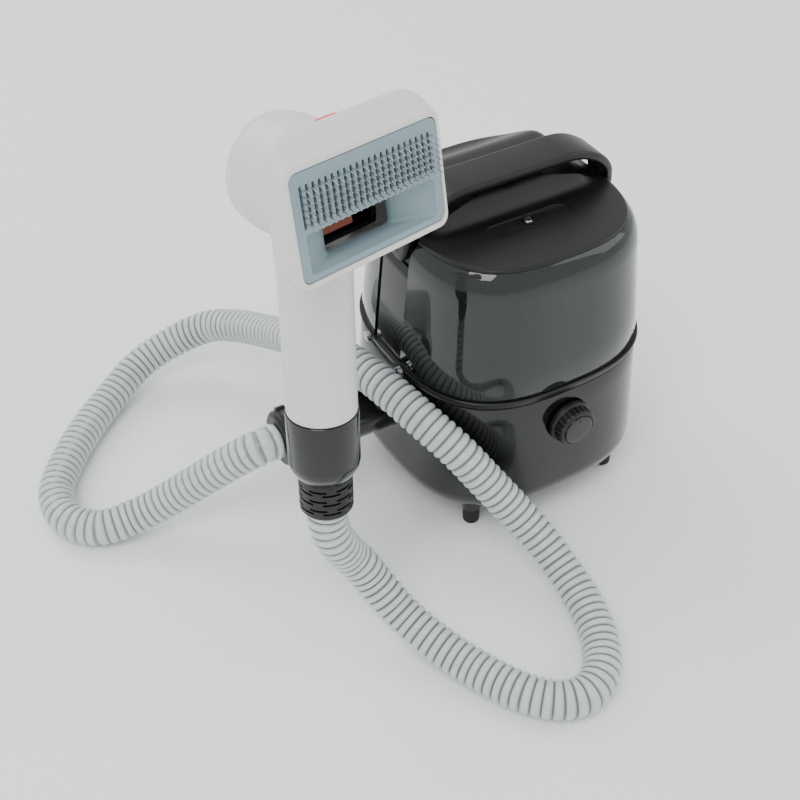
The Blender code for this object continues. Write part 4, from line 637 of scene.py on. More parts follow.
class DRYER_OT_base(bpy.types.Operator):
    """Base housing with its vents, feet, inlet pipe and hose connector"""
    bl_idname = "dryer.base"
    bl_label = "Base unit"

    def execute(self, context):
        sizes = context.scene.dryer_sizes
        self.housing()
        self.feet(sizes.segments)
        self.inlet(sizes.segments)
        return {"FINISHED"}

    def housing(self):
        wall, shy = 2.8 * MM, 0.1 * MM
        deck = BASE_TOP - 3 * MM
        bend = BASE_UNDERSIDE + BASE_EDGE
        count = PLAN_POINTS

        def ring(radius, z):
            return circle(radius, z, count, math.pi / count)

        first = BASE_UNDERSIDE + BASE_EDGE * (1 - math.cos(math.radians(28)))
        opening = base_half(first) - 12 * MM
        rings = [ring(31 * MM, BASE_TOP), plan(RIM_HALF - 1.2 * MM, BASE_TOP),
                 plan(RIM_HALF - 0.4 * MM, BASE_TOP - 0.4 * MM)]
        rings += [plan(base_half(z) - shy, z) for z in
                  (BASE_TOP - 1.3 * MM, BASE_TOP - 20 * MM, BASE_TOP - 45 * MM, BASE_TOP - 70 * MM, bend)]
        levels = [BASE_UNDERSIDE + BASE_EDGE * (1 - math.cos(math.radians(a))) for a in range(85, 23, -5)]
        rings += [plan(base_half(z) - shy, z) for z in levels]
        rings += [plan(opening, BASE_UNDERSIDE), plan(opening, BASE_UNDERSIDE + wall)]
        rings += [plan(base_half(z) - wall, z + 0.4 * wall) for z in reversed(levels[:-4])]
        rings += [plan(base_half(deck) - wall, deck), ring(31 * MM, deck)]
        housing = mesh_object("base_shell", moved(skin(rings, True), CANISTER), "gloss_black", "root",
                              ride=False)
        front, rear = base_half(KNOB_Z), base_half(GRILLE_Z)
        pipe = moved(turned([(24.3 * MM, -5 * MM), (24.3 * MM, 10 * MM)], 64),
                     CANISTER @ Matrix.Translation((-base_half(INLET.z), INLET.y, INLET.z)) @ AXIS_X)
        cut(housing, pipe)
        cut(housing, duct_slot(deck, BASE_TOP))
        cut(housing, moved(turned([(4.5 * MM, -5 * MM), (4.5 * MM, 10 * MM)], 32),
                           CANISTER @ Matrix.Translation((0, -front + CUT, KNOB_Z)) @ AXIS_FRONT))
        grille = box((-36 * MM, rear - 20 * MM, GRILLE_Z - 15 * MM),
                     (36 * MM, rear + CUT, GRILLE_Z + 15 * MM))
        cut(housing, moved(grille, CANISTER))
        socket = box((49 * MM, rear - 30 * MM, GRILLE_Z - 9 * MM), (75 * MM, rear + CUT, GRILLE_Z + 9 * MM))
        cut(housing, moved(socket, CANISTER))
        wall_y = -base_half(VENT_Z)
        vent = box((6 * MM, wall_y - CUT, VENT_Z - 3 * MM), (8.5 * MM, wall_y + 5 * CUT, VENT_Z + 3 * MM))
        cut(housing, moved(repeated(vent, 6, (5 * MM, 0, 0)), CANISTER))
        for x in (-72.5, 72.5):
            for y in (-80, 80):
                boss = turned([(8.3 * MM, 17 * MM), (8.3 * MM, 44 * MM)], 40)
                cut(housing, moved(boss, CANISTER @ Matrix.Translation((x * MM, y * MM, 0))), "UNION")
        declare(housing, "root", ["base_housing"])

    def feet(self, segments):
        for end, y in (("front", -80), ("rear", 80)):
            for side, x in (("left", -72.5), ("right", 72.5)):
                profile = [(6 * MM, 0), (7.3 * MM, 1.6 * MM), (7.6 * MM, 16.7 * MM)]
                name = "foot_" + end + "_" + side
                foot = moved(turned(profile, segments // 2), Matrix.Translation((x * MM, y * MM, 0)))
                placed(name + "_rubber", foot,
                       "rubber_black", "root", "rubber_black", [name])

    def inlet(self, segments):
        place = Matrix.Translation((0, INLET.y, INLET.z)) @ AXIS_X
        low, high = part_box("inlet_pipe")
        start, stop = low[0] - CENTRE.x, high[0] - CENTRE.x
        pipe = [(24 * MM, start), (24 * MM, stop), (21.6 * MM, stop), (21.6 * MM, start)]
        placed("pipe_wall", moved(turned(pipe, segments, True), place), "gloss_black", "root", "satin_black",
               ["inlet_pipe"])
        end, seat = -216 * MM, -200 * MM
        ring = [(13.6 * MM, end), (22 * MM, end), (24.9 * MM, end + 3 * MM), (24.9 * MM, end + 6 * MM),
                (24.2 * MM, end + 7 * MM), (24.9 * MM, end + 8 * MM), (24.9 * MM, seat), (21.1 * MM, seat),
                (21.1 * MM, seat + 14 * MM), (13.6 * MM, seat + 14 * MM)]
        piece = mesh_object("connector_ring", moved(turned(ring, segments, True, 0.5 * MM), CANISTER @ place),
                            "satin_black", "connector", ride=False)
        lug = box((24 * MM, -3 * MM, end + 6 * MM), (27 * MM, 3 * MM, seat - 2 * MM))
        for angle in (35, 145, 215, 325):
            turn = Matrix.Rotation(math.radians(angle), 4, "Z")
            cut(piece, moved(lug.copy(), CANISTER @ place @ turn), "UNION")
        lug.free()
        declare(piece, "connector", ["hose_connector"])


class DRYER_OT_knob(bpy.types.Operator):
    """Speed knob: a skirt, a grooved grip ring and a glossy cap with a pointer"""
    bl_idname = "dryer.knob"
    bl_label = "Speed knob"

    def execute(self, context):
        segments = context.scene.dryer_sizes.segments
        skin_y = -base_half(KNOB_Z - 20.3 * MM) - 0.5 * MM
        place = CANISTER @ Matrix.Translation((0, skin_y, KNOB_Z)) @ AXIS_FRONT
        depth = 14 * MM
        profile = [(20.3 * MM, 0), (19.9 * MM, 4 * MM), (18.5 * MM, 4.6 * MM), (18 * MM, depth - 1.5 * MM),
                   (16.5 * MM, depth), (14 * MM, depth), (14 * MM, depth - 2 * MM), (6 * MM, depth - 2 * MM),
                   (6 * MM, 0)]
        grip = moved(turned(profile, segments, True, 0.7 * MM), place)
        ring = mesh_object("knob_grip", grip, "satin_black", "knob", ride=False)
        groove = box((17.4 * MM, -0.7 * MM, 6 * MM), (22 * MM, 0.7 * MM, depth + 1 * MM))
        cut(ring, moved(repeated(groove, 24, turn=2 * math.pi / 24), place))
        declare(ring, "knob", ["control_knob"])
        cap = [(13.7 * MM, depth - 1.7 * MM), (13.7 * MM, depth + 0.4 * MM), (12.7 * MM, depth + 1.1 * MM),
               (4 * MM, depth + 1.2 * MM)]
        disc = mesh_object("knob_disc", moved(turned(cap, segments), place), "gloss_black", "knob",
                           ride=False)
        pointer = box((-0.5 * MM, 8 * MM, depth + 0.8 * MM), (0.5 * MM, 12.4 * MM, depth + 3 * MM))
        cut(disc, moved(pointer, place))
        declare(disc, "knob", ["knob_cap"])
        return {"FINISHED"}


class DRYER_OT_bin(bpy.types.Operator):
    """Smoke-clear dust bin with its collar, riser duct and pleated filter"""
    bl_idname = "dryer.bin"
    bl_label = "Dust bin"

    def execute(self, context):
        self.collar()
        self.tub()
        self.riser()
        self.filter(context.scene.dryer_sizes.pleats)
        return {"FINISHED"}

    def collar(self):
        low, high = BASE_TOP + 0.3 * MM, BASE_TOP + 7.9 * MM
        mid = low + 4.2 * MM
        wide = RIM_HALF + 1.5 * MM
        rings = [plan(88 * MM, low), plan(RIM_HALF - 0.6 * MM, low), plan(RIM_HALF, low + 0.6 * MM),
                 plan(RIM_HALF + 0.4 * MM, mid - 1.4 * MM), plan(wide - 0.2 * MM, mid),
                 plan(wide, mid + 0.8 * MM), plan(wide, high - 0.7 * MM), plan(wide - 0.6 * MM, high),
                 plan(88 * MM, high)]
        collar = mesh_object("collar_ring", moved(skin(rings, True), CANISTER), "satin_black", "bin",
                             ride=False)
        cut(collar, duct_slot(low, high))
        for y in (NOTCH_Y[0] - 5 * MM, NOTCH_Y[1] + 5 * MM):
            x = -plan_side(RIM_HALF + 1.6 * MM, y)
            hole = turned([(2.5 * MM, -0.3 * MM), (2.5 * MM, 10 * MM)], 24)
            cut(collar, moved(hole, CANISTER @ Matrix.Translation((x + 3.4 * MM, y, BASE_TOP + 4.86 * MM))
                              @ Matrix.Rotation(math.radians(-90), 4, "Y")))
        declare(collar, "bin", ["bin_collar"])

    def tub(self):
        wall = 2.6 * MM
        low, top, leg = BIN_LOW[2], SEAM_Z, 244 * MM
        levels = [low, low + 1 * MM, 180 * MM, 210 * MM, SHOULDER_Z, leg] + \
            [leg + (top - leg) * i / 12 for i in range(1, 13)]

        def ring(z, shrink, at=None):
            left = 92.8 * MM if z < leg else 88 * MM
            right = 2 * RIM_HALF if z < leg else 88 * MM
            points = notched_plan(bin_half(z) - shrink - 0.05 * MM, z, left - shrink, right - shrink,
                                  NOTCH_Y[0] - shrink, NOTCH_Y[1] + shrink)
            return points if at is None else [Vector((p.x, p.y, at)) for p in points]

        outer = [ring(z, 0.5 * MM if z == low else 0) for z in levels]
        inner = [ring(z, wall) for z in levels[2:]]
        inner.insert(0, ring(low + wall, wall))
        wall_mesh = moved(skin(outer + list(reversed(inner))), CANISTER)
        tub = mesh_object("bin_wall", wall_mesh, "smoke_clear", "bin", ride=False)
        cut(tub, moved(turned([(31 * MM, low - 5 * MM), (31 * MM, low + 8 * MM)], 64), CANISTER))
        port = box((-98 * MM, -9 * MM, 210 * MM), (-82 * MM, 18 * MM, 232 * MM))
        cut(tub, moved(port, CANISTER))
        declare(tub, "bin", ["dust_bin"])

    def riser(self):
        inner_x, top, low = 93.1 * MM, 240 * MM, BIN_LOW[2]
        y_mid, half_y = 5 * MM, 21.7 * MM

        def ring(z, outset, shrink):
            outer_x = min(plan_side(bin_half(z), NOTCH_Y[0]), plan_side(bin_half(z), NOTCH_Y[1])) - outset
            half_x = (outer_x - inner_x) / 2
            wide = half_x - shrink
            corner = min(3 * MM, wide - 0.1 * MM) if wide > 0.3 * MM else 0.1 * MM
            return rounded_rect(wide, half_y - shrink, corner, z, 5, (-(outer_x + inner_x) / 2, y_mid))

        bend = top - 8 * MM
        rings = [ring(top, 4 * MM, 1 * MM), ring(top - 2 * MM, 2.8 * MM, 0.3 * MM),
                 ring(bend + 2 * MM, 1.6 * MM, 0), ring(bend, 1 * MM, 0), ring(low, 1 * MM, 0),
                 ring(low, 1 * MM, 2 * MM), ring(bend, 1 * MM, 2 * MM), ring(bend + 4 * MM, 3 * MM, 2 * MM)]
        duct = mesh_object("riser_wall", moved(skin(rings), CANISTER), "gloss_black", "bin", ride=False)
        port = box((-95.6 * MM, -9 * MM, 210 * MM), (-88.1 * MM, 18 * MM, 230 * MM))
        cut(duct, moved(port, CANISTER))
        declare(duct, "bin", ["riser_duct"])

    def filter(self, pleats):
        outer, low, high = 55.9 * MM, 196.2 * MM, 235.8 * MM
        half = math.pi / pleats * 0.985
        outline = [(47.2 * MM, -half), (51 * MM, -half), (outer - 0.4 * MM, -half * 0.12), (outer, 0),
                   (outer - 0.4 * MM, half * 0.12), (51 * MM, half), (47.2 * MM, half)]
        wedge = skin([[Vector((r * math.cos(a), r * math.sin(a), z)) for r, a in outline]
                      for z in (low, high)])
        folds = repeated(wedge, pleats, turn=2 * math.pi / pleats, material="filter_paper")
        placed("filter_pleats", folds, "filter_paper", "bin", "filter_paper", ["pleated_filter"])
        cap = [(58 * MM, high + 0.6 * MM), (58 * MM, high + 5 * MM), (50 * MM, high + 7.9 * MM)]
        placed("filter_top", turned(cap, 72, radius=1.2 * MM), "brown_abs", "bin", "brown_abs",
               ["filter_cap"])


def lid_height(x, y, half, front):
    rise = smooth_step(y, -0.24 * half, -0.01 * half)
    side = 1 - smooth_step(abs(x), 0.70 * half, 0.97 * half)
    rear = 1 - smooth_step(y, 0.52 * half, 0.96 * half)
    return front + 17 * MM * rise * side * rear


class DRYER_OT_lid(bpy.types.Operator):
    """Lid with its recess and push button"""
    bl_idname = "dryer.lid"
    bl_label = "Lid"

    def execute(self, context):
        half, front, seam = SEAM_HALF - 0.35 * MM, 269.5 * MM, 267 * MM
        wide = 2 * RIM_HALF
        edge = notched_plan(half, seam, wide, wide, *NOTCH_Y)
        skirt_half, skirt_floor = 89.0 * MM, 82.4 * MM

        def surface(scale, drop):
            near = [(p.x * scale, p.y * scale) for p in edge]
            return [Vector((x, y, lid_height(x, y, half, front) - drop)) for x, y in near]

        def skirt(z, inset):
            return notched_plan(skirt_half - inset, z, skirt_floor - inset, skirt_floor - inset,
                                NOTCH_Y[0] - 6 * MM - inset, NOTCH_Y[1] + 6 * MM + inset)

        scales = [0.02 + 0.96 * i / 26 for i in range(27)]
        rings = [surface(s, 0) for s in scales]
        rings += [surface(0.99, 0.2 * MM), surface(0.996, 0.6 * MM), surface(1.0, 1.4 * MM)]
        rings += [[Vector((p.x, p.y, seam)) for p in edge], skirt(seam, 0), skirt(seam - 10 * MM, 0),
                  skirt(seam - 10 * MM, 2 * MM), skirt(front - 4.4 * MM, 2 * MM)]
        rings += [surface(scale, 3 * MM) for scale in (0.85, 0.78, 0.7, 0.6, 0.5, 0.4, 0.3, 0.2, 0.1, 0.04)]
        lid = mesh_object("lid_panel", moved(skin(rings), CANISTER), "satin_black", "lid", ride=False)
        for sign in (-1, 1):
            xs = sorted((sign * 88.3 * MM, sign * 91.3 * MM))
            cut(lid, moved(box((xs[0], -11 * MM, 248 * MM), (xs[1], 11 * MM, 268 * MM)), CANISTER), "UNION")
        hole = turned([(4.1 * MM, 252 * MM), (4.1 * MM, 277 * MM)], 48)
        cut(lid, moved(hole, CANISTER @ Matrix.Translation((0, -35 * MM, 0))))
        floor = front - 1.2 * MM
        pocket = skin([rounded_rect(38.0 * MM, 9.0 * MM, 8.5 * MM, floor, 10, (0, -37 * MM)),
                       rounded_rect(38.7 * MM, 9.7 * MM, 9.2 * MM, floor + 0.4 * MM, 10, (0, -37 * MM)),
                       rounded_rect(39.0 * MM, 10.0 * MM, 9.5 * MM, front + 10 * MM, 10, (0, -37 * MM))])
        cut(lid, moved(pocket, CANISTER))
        declare(lid, "lid", ["lid"])
        place = Matrix.Translation((0, -35 * MM, 0))
        ring = [(4.1 * MM, floor + 0.3 * MM), (5.6 * MM, floor + 0.3 * MM), (5.2 * MM, floor + 1.2 * MM),
                (4.1 * MM, floor + 1.2 * MM)]
        placed("lid_button_bezel", moved(turned(ring, 64, True, 0.25 * MM), place), "gloss_black", "lid",
               "gloss_black", ["lid_button_ring"])
        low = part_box("lid_button")[0][2]
        button = [(3.6 * MM, low), (3.6 * MM, floor + 0.6 * MM), (2.8 * MM, floor + 1.1 * MM),
                  (1.4 * MM, floor + 1.2 * MM)]
        placed("lid_button_cap", moved(turned(button, 48), place), "bright_steel", "lid_button",
               "bright_steel", ["lid_button"])
        return {"FINISHED"}


class DRYER_OT_handle(bpy.types.Operator):
    """Wide carry strap over the lid"""
    bl_idname = "dryer.handle"
    bl_label = "Carry handle"

    def execute(self, context):
        # each is (x, z, width, thickness) in millimetres, from the pivot up to the middle of the strap
        right = [(98.0, 247.2, 12, 8), (98.2, 251, 21, 8.6), (98.3, 259, 26, 8.6), (97.6, 267, 28, 8),
                 (95.6, 274, 31, 7.4), (91.2, 281.5, 33, 7.4), (84.5, 288.5, 35, 7.6),
                 (75.5, 294.5, 36.4, 7.8), (64.5, 299.5, 37, 8), (52, 301.9, 37, 7.9),
                 (36, 301.9, 37, 7.9), (18, 301.9, 37, 7.9)]
        path = right + [(-x, z, w, t) for x, z, w, t in reversed(right)]
        fine = []
        for a, c, e, g in zip([path[0]] + path, path, path[1:], path[2:] + [path[-1]]):
            for i in range(4):
                t = i / 4
                fine.append([0.5 * (2 * q + (r - p) * t + (2 * p - 5 * q + 4 * r - s) * t * t
                                    + (3 * q - p - 3 * r + s) * t ** 3) for p, q, r, s in zip(a, c, e, g)])
        fine.append(list(path[-1]))
        rings = []
        for i, (x, z, width, thick) in enumerate(fine):
            before, after = fine[max(0, i - 1)], fine[min(len(fine) - 1, i + 1)]
            along = Vector((after[0] - before[0], 0, after[1] - before[1])).normalized()
            across = Vector((along.z, 0, -along.x))
            centre = Vector((x * MM, -2 * MM * smooth_step(z, 262, 296), z * MM))
            section = rounded_rect(width / 2 * MM, thick / 2 * MM, min(3.2, thick / 2 - 0.3) * MM, 0, 5)
            rings.append([centre + Vector((0, p.x, 0)) + across * p.y for p in section])
        strap = mesh_object("handle_strap", moved(skin(rings), CANISTER), "satin_black", "handle", ride=False)
        for sign in (-1, 1):
            bore = turned([(4 * MM, -10 * MM), (4 * MM, 10 * MM)], 40)
            cut(strap, moved(bore, CANISTER @ Matrix.Translation((sign * 98 * MM, 0, 259 * MM)) @ AXIS_X))
        declare(strap, "handle", ["carry_handle"])
        return {"FINISHED"}


def head_ring(y, half_x, top, low, corner, tilt):
    centre = (top + low) / 2
    return [Vector((p.x, y + math.tan(BRUSH_PITCH) * (centre + p.y - BRUSH_Z) * tilt, centre + p.y))
            for p in rounded_rect(half_x, (top - low) / 2, corner, 0, 12)]


def through(rings, steps):
    """More rings between the given ones, on smooth curves through their points."""
    result = []
    for a, c, e, g in zip([rings[0]] + rings, rings, rings[1:], rings[2:] + [rings[-1]]):
        for i in range(steps):
            t = i / steps
            result.append([0.5 * (2 * q + (r - p) * t + (2 * p - 5 * q + 4 * r - s) * t * t
                                  + (3 * q - p - 3 * r + s) * t ** 3) for p, q, r, s in zip(a, c, e, g)])
    result.append(rings[-1])
    return result


class DRYER_OT_head(bpy.types.Operator):
    """Brush head: white shell, face plate with slots and nozzle, steel pins and release button"""
    bl_idname = "dryer.head"
    bl_label = "Brush head"

    def execute(self, context):
        sizes = context.scene.dryer_sizes
        self.shell()
        self.plate(sizes)
        self.pins(sizes)
        self.button()
        return {"FINISHED"}

    def shell(self):
        half_x, half_z, rim = PLATE_WIDTH / 2 + 0.3 * MM, PLATE_HEIGHT / 2 + 0.3 * MM, 3.4 * MM
        outer_x = half_x + rim
        low = BRUSH_Z - half_z - rim - 1 * MM
        high = BRUSH_Z + half_z + rim + 1 * MM
        r, zc, y0, end = 40.4 * MM, 176 * MM, BRUSH_Y, 56 * MM
        sections = [
            (y0 - 0.4 * MM, outer_x - 1.6 * MM, high - 1.6 * MM, low + 1.6 * MM, 7 * MM, 1.0),
            (y0 + 0.3 * MM, outer_x - 0.5 * MM, high - 0.5 * MM, low + 0.5 * MM, 8.2 * MM, 1.0),
            (y0 + 1.8 * MM, outer_x, high, low, 9 * MM, 1.0),
            (y0 + 12 * MM, outer_x + 0.3 * MM, high + 6.3 * MM, low - 0.4 * MM, 11 * MM, 0.8),
            (y0 + 20 * MM, outer_x - 1 * MM, high + 10.1 * MM, low - 1 * MM, 15 * MM, 0.5),
            (y0 + 26 * MM, outer_x - 6 * MM, high + 8.8 * MM, low - 2.5 * MM, 21 * MM, 0.3),
            (y0 + 33 * MM, outer_x - 15 * MM, high + 5.4 * MM, low - 5 * MM, 30 * MM, 0.1),
            (y0 + 41 * MM, r + 4 * MM, zc + r + 7.4 * MM, zc - r + 2.5 * MM, r - 4 * MM, 0),
            (y0 + 51 * MM, r + 0.7 * MM, zc + r + 2.5 * MM, zc - r + 0.5 * MM, r - 1 * MM, 0),
            (y0 + 62 * MM, r, zc + r, zc - r, r - 0.1 * MM, 0),
            (y0 + 78 * MM, r, zc + r, zc - r, r - 0.1 * MM, 0),
        ]
        for angle in (20, 35, 50, 65, 78, 87):
            share = math.cos(math.radians(angle))
            y = end * (0.5 + 0.5 * math.sin(math.radians(angle)))
            sections.append((y, r * share, zc + r * share, zc - r * share, r * share - 0.05 * MM, 0))
        outer = [head_ring(*s) for s in sections]
        outer = outer[:2] + through(outer[2:], 3)
        wall = 2.5 * MM
        inner = [head_ring(min(y, end - wall), hx - wall, top - wall, bottom + wall,
                           max(corner - wall, 1 * MM), tilt)
                 for y, hx, top, bottom, corner, tilt in sections[3:] if hx > 14 * MM]
        mouth = [head_ring(y, half_x, BRUSH_Z + half_z, BRUSH_Z - half_z, 6.3 * MM, 1.0)
                 for y in (y0 - 0.4 * MM, y0 + 5.5 * MM)]
        cover = moved(skin(list(reversed(outer)) + mouth + inner), HANDSET)
        shell = mesh_object("head_cover", cover, "white_abs", "handset", ride=False, sharp=40)
        cut(shell, moved(turned([(26.3 * MM, 116 * MM), (26.3 * MM, 154 * MM)], 72), HANDSET))
        hole = skin([[Vector((p.x * 8.5, p.y * 5.5, z)) for p in circle(1 * MM, 0, 48)]
                     for z in (-10 * MM, 10 * MM)])
        cut(shell, moved(hole, BUTTON))
        declare(shell, "handset", ["head_shell"])

    def plate(self, sizes):
        outline = rounded_rect(PLATE_WIDTH / 2, PLATE_HEIGHT / 2, 6 * MM, 0, 10)
        inset = rounded_rect(PLATE_WIDTH / 2 - 0.5 * MM, PLATE_HEIGHT / 2 - 0.5 * MM, 5.5 * MM, 0, 10)
        body = skin([[Vector((p.x, 0, p.y)) for p in inset], [Vector((p.x, 0.5 * MM, p.y)) for p in outline],
                     [Vector((p.x, 4 * MM, p.y)) for p in outline]])
        plate = mesh_object("brush_plate", moved(body, FACE), "blue_grey_abs", "handset", ride=False)
        cut(plate, moved(box((-57 * MM, 2 * MM, -32.5 * MM), (57 * MM, 19 * MM, -2.3 * MM)), FACE), "UNION")
        rings = []
        for i in range(13):
            t = i / 12
            ease = t * t * (3 - 2 * t)
            half = (55.2 - 27.2 * ease) * MM
            y = (-1 + 19 * t) * MM
            low, high = (-30.6 + 1.6 * min(1, t * 2)) * MM, (-3.9 - 2.6 * min(1, t * 2)) * MM
            rings.append([Vector((p.x, y, p.y)) for p in
                          rounded_rect(half, (high - low) / 2, 3 * MM, 0, 6, (0, (high + low) / 2))])
        rings.append([Vector((p.x, 24 * MM, p.z)) for p in rings[-1]])
        cut(plate, moved(skin(rings), FACE))
        pitch = 5.14 * MM
        first = -(sizes.pin_columns - 1) / 2 * pitch
        slot_ring = rounded_rect(1.1 * MM, 13.7 * MM, 1.09 * MM, 0, 5, (first, 12.5 * MM))
        slot = skin([[Vector((p.x, y, p.y)) for p in slot_ring] for y in (-5 * MM, 10 * MM)])
        cut(plate, moved(repeated(slot, sizes.pin_columns, (pitch, 0, 0)), FACE))
        declare(plate, "handset", ["face_plate"])

    def pins(self, sizes):
        pitch = 5.14 * MM
        first = -(sizes.pin_columns - 1) / 2 * pitch
        low, high = 0.8 * MM, 24.2 * MM
        route = [(8 * MM, 0), (0, 0), (-4.5 * MM, 0), (-5.6 * MM, 0.1 * MM), (-8 * MM, -0.9 * MM),
                 (-sizes.pin_reach + 0.25 * MM, -2.0 * MM), (-sizes.pin_reach, -2.1 * MM)]
        radii = [0.42 * MM] * 5 + [0.40 * MM, 0.2 * MM]
        rings = []
        for (y, z), radius in zip(route, radii):
            rings.append([Vector((first + p.x, y, low + 2.0 * MM + z + p.y)) for p in circle(radius, 0, 8)])
        wires = repeated(skin(rings), sizes.pin_rows, (0, 0, (high - low - 2 * MM) / (sizes.pin_rows - 1)))
        wires = repeated(wires, sizes.pin_columns, (pitch, 0, 0), material="bright_steel")
        bed = box((-57 * MM, 6 * MM, -0.8 * MM), (57 * MM, 9 * MM, 27.2 * MM))
        placed_wires = joined([moved(wires, FACE), moved(bed, FACE)])
        mesh_object("pin_bed", placed_wires, "bright_steel", "pins", "bright_steel", ["pin_carrier"])

    def button(self):
        rings = []
        for z, scale in ((-9, 1.0), (0.4, 1.0), (0.9, 0.97), (1.2, 0.9), (1.35, 0.75), (1.4, 0.5)):
            rings.append([Vector((p.x * 8 * scale, p.y * 5 * scale, z * MM)) for p in circle(1 * MM, 0, 48)])
        mesh_object("button_cap", moved(skin(rings), BUTTON), "orange_abs", "release_button", "orange_abs",
                    ["release_button"])


class DRYER_OT_grip(bpy.types.Operator):
    """Handle tube, swivel collar and the slotted strain relief of the hose"""
    bl_idname = "dryer.grip"
    bl_label = "Handset tube"

    def execute(self, context):
        count = context.scene.dryer_sizes.segments
        tube = [(25.9 * MM, 0.2 * MM), (26 * MM, 1 * MM), (26 * MM, 149 * MM), (25.6 * MM, 150 * MM),
                (23.6 * MM, 150 * MM), (23.6 * MM, 4 * MM), (21 * MM, 2 * MM), (21 * MM, -22 * MM),
                (23.2 * MM, -22 * MM), (23.2 * MM, 0)]
        mesh_object("tube_wall", moved(turned(tube, count, True, 0.5 * MM), HANDSET), "white_abs", "handset",
                    "white_abs", ["handle_tube"])
        low = -COLLAR_LENGTH
        collar = [(26.9 * MM, -0.3 * MM), (26.9 * MM, low + 14 * MM), (26.3 * MM, low + 10 * MM),
                  (25 * MM, low + 7 * MM), (21.1 * MM, low), (17.1 * MM, low), (17.1 * MM, low + 5 * MM),
                  (19.8 * MM, low + 5 * MM), (19.8 * MM, low + 20 * MM), (21 * MM, low + 22 * MM),
                  (21 * MM, -25 * MM), (23.5 * MM, -23 * MM), (23.5 * MM, -0.3 * MM)]
        mesh_object("collar_sleeve", moved(turned(collar, count, True, 0.8 * MM), HANDSET), "gloss_black",
                    "collar", "gloss_black", ["swivel_collar"])
        end = low - CUFF_LENGTH
        cuff = [(19 * MM, end), (20.4 * MM, end + 2 * MM), (20.4 * MM, low - 0.3 * MM),
                (16.6 * MM, low - 0.3 * MM),
                (16.6 * MM, low + 5.5 * MM), (18.8 * MM, low + 5.5 * MM), (18.8 * MM, low + 8.5 * MM),
                (14.4 * MM, low + 8.5 * MM), (14.4 * MM, low - 2.5 * MM), (18 * MM, low - 2.5 * MM),
                (18 * MM, end + 3 * MM), (16 * MM, end + 3 * MM), (16 * MM, end)]
        piece = mesh_object("cuff_sleeve", moved(turned(cuff, count, True, 0.3 * MM), HANDSET), "satin_black",
                            "cuff", ride=False)
        cutters = []
        for row in range(6):
            z = low - 5.4 * MM - 8.6 * MM * (row // 2) - 3.0 * MM * (row % 2)
            slot = box((-6.8 * MM, 16.8 * MM, z - 0.9 * MM), (6.8 * MM, 21.5 * MM, z + 0.9 * MM))
            ring = repeated(slot, 6, turn=math.pi / 3)
            cutters.append(moved(ring, Matrix.Rotation(math.pi / 6 * (row % 2), 4, "Z")))
        cut(piece, moved(joined(cutters), HANDSET))
        declare(piece, "cuff", ["hose_cuff"])
        return {"FINISHED"}


HOSE_ROUTE = [
    (-234, -130, 112), (-223, -129.5, 88), (-214, -134, 73), (-206, -143, 56),
    (-196, -163, 37), (-184, -191, 25), (-170, -221, 18), (-157, -248, 16.3), (-142, -273, 16.3),
    (-124, -289, 16.3), (-104, -294, 16.3), (-84, -285, 16.3), (-68, -265, 16.3), (-58, -241, 18),
    (-53, -213, 23), (-55, -186, 34), (-62, -162, 50), (-74, -139, 70), (-88, -120, 92),
    (-102, -101, 114), (-116, -76, 131), (-127, -46, 142), (-135, -17, 147), (-141, 15, 145),
    (-147, 60, 131), (-153, 105, 112), (-158, 145, 93), (-168, 184, 76), (-185, 216, 61),
    (-214, 234, 44), (-254, 236, 29), (-292, 217, 19), (-329, 189, 16.3), (-364, 152, 16.3),
    (-385, 119, 16.3), (-386, 86, 16.3), (-366, 62, 16.6), (-334, 53, 23), (-306, 43, 38),
    (-278, 29, 61), (-251, 14, 84),
]


class DRYER_OT_hose(bpy.types.Operator):
    """Ribbed stretch hose from the handset's cuff to the canister's connector"""
    bl_idname = "dryer.hose"
    bl_label = "Hose"

    def execute(self, context):
        sizes = context.scene.dryer_sizes
        leave = HANDSET @ Vector((0, 0, -COLLAR_LENGTH - CUFF_LENGTH - 0.3 * MM))
        down = -(HANDSET.to_3x3() @ Vector((0, 0, 1)))
        arrive = CENTRE + Vector((-216.3 * MM, INLET.y, INLET.z))
        route = [leave, leave + down * HOSE_RADIUS] + [CENTRE + Vector(p) * MM for p in HOSE_ROUTE]
        route += [arrive - Vector((HOSE_RADIUS, 0, 0)), arrive]
        line = [Vector(p[0]) for p in through([[p] for p in route], 6)]
        length = sum((b - a).length for a, b in zip(line, line[1:]))
        bm = bmesh.new()
        verts = [bm.verts.new(p) for p in line]
        for a, b in zip(verts, verts[1:]):
            bm.edges.new((a, b))
        hose = grown(bm, TREES["tube"], {"Radius": HOSE_RADIUS - 0.05 * MM, "Pitch": sizes.rib_pitch,
                                         "Depth": sizes.rib_depth, "Sides": 28,
                                         "Material": MATERIALS["hose_grey"]}, "hose_wall")
        hose.data.set_sharp_from_angle(angle=math.radians(80))
        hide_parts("hose")
        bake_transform(hose)
        self.report({"INFO"}, f"hose length {length:.3f} m")
        return {"FINISHED"}


class DRYER_OT_finishes(bpy.types.Operator):
    """The finish of every CAD node that is still shown"""
    bl_idname = "dryer.finishes"
    bl_label = "Finishes"

    def execute(self, context):
        slots = {part["node"]: part["material_slot"] for part in frame["record"]["subparts"]}
        for name, node in frame["nodes"].items():
            if node.hide_render or node.type != "MESH":
                continue
            material = MATERIALS[slots[name]]
            if node.data.materials:
                node.data.materials[0] = material
            else:
                node.data.materials.append(material)
        return {"FINISHED"}


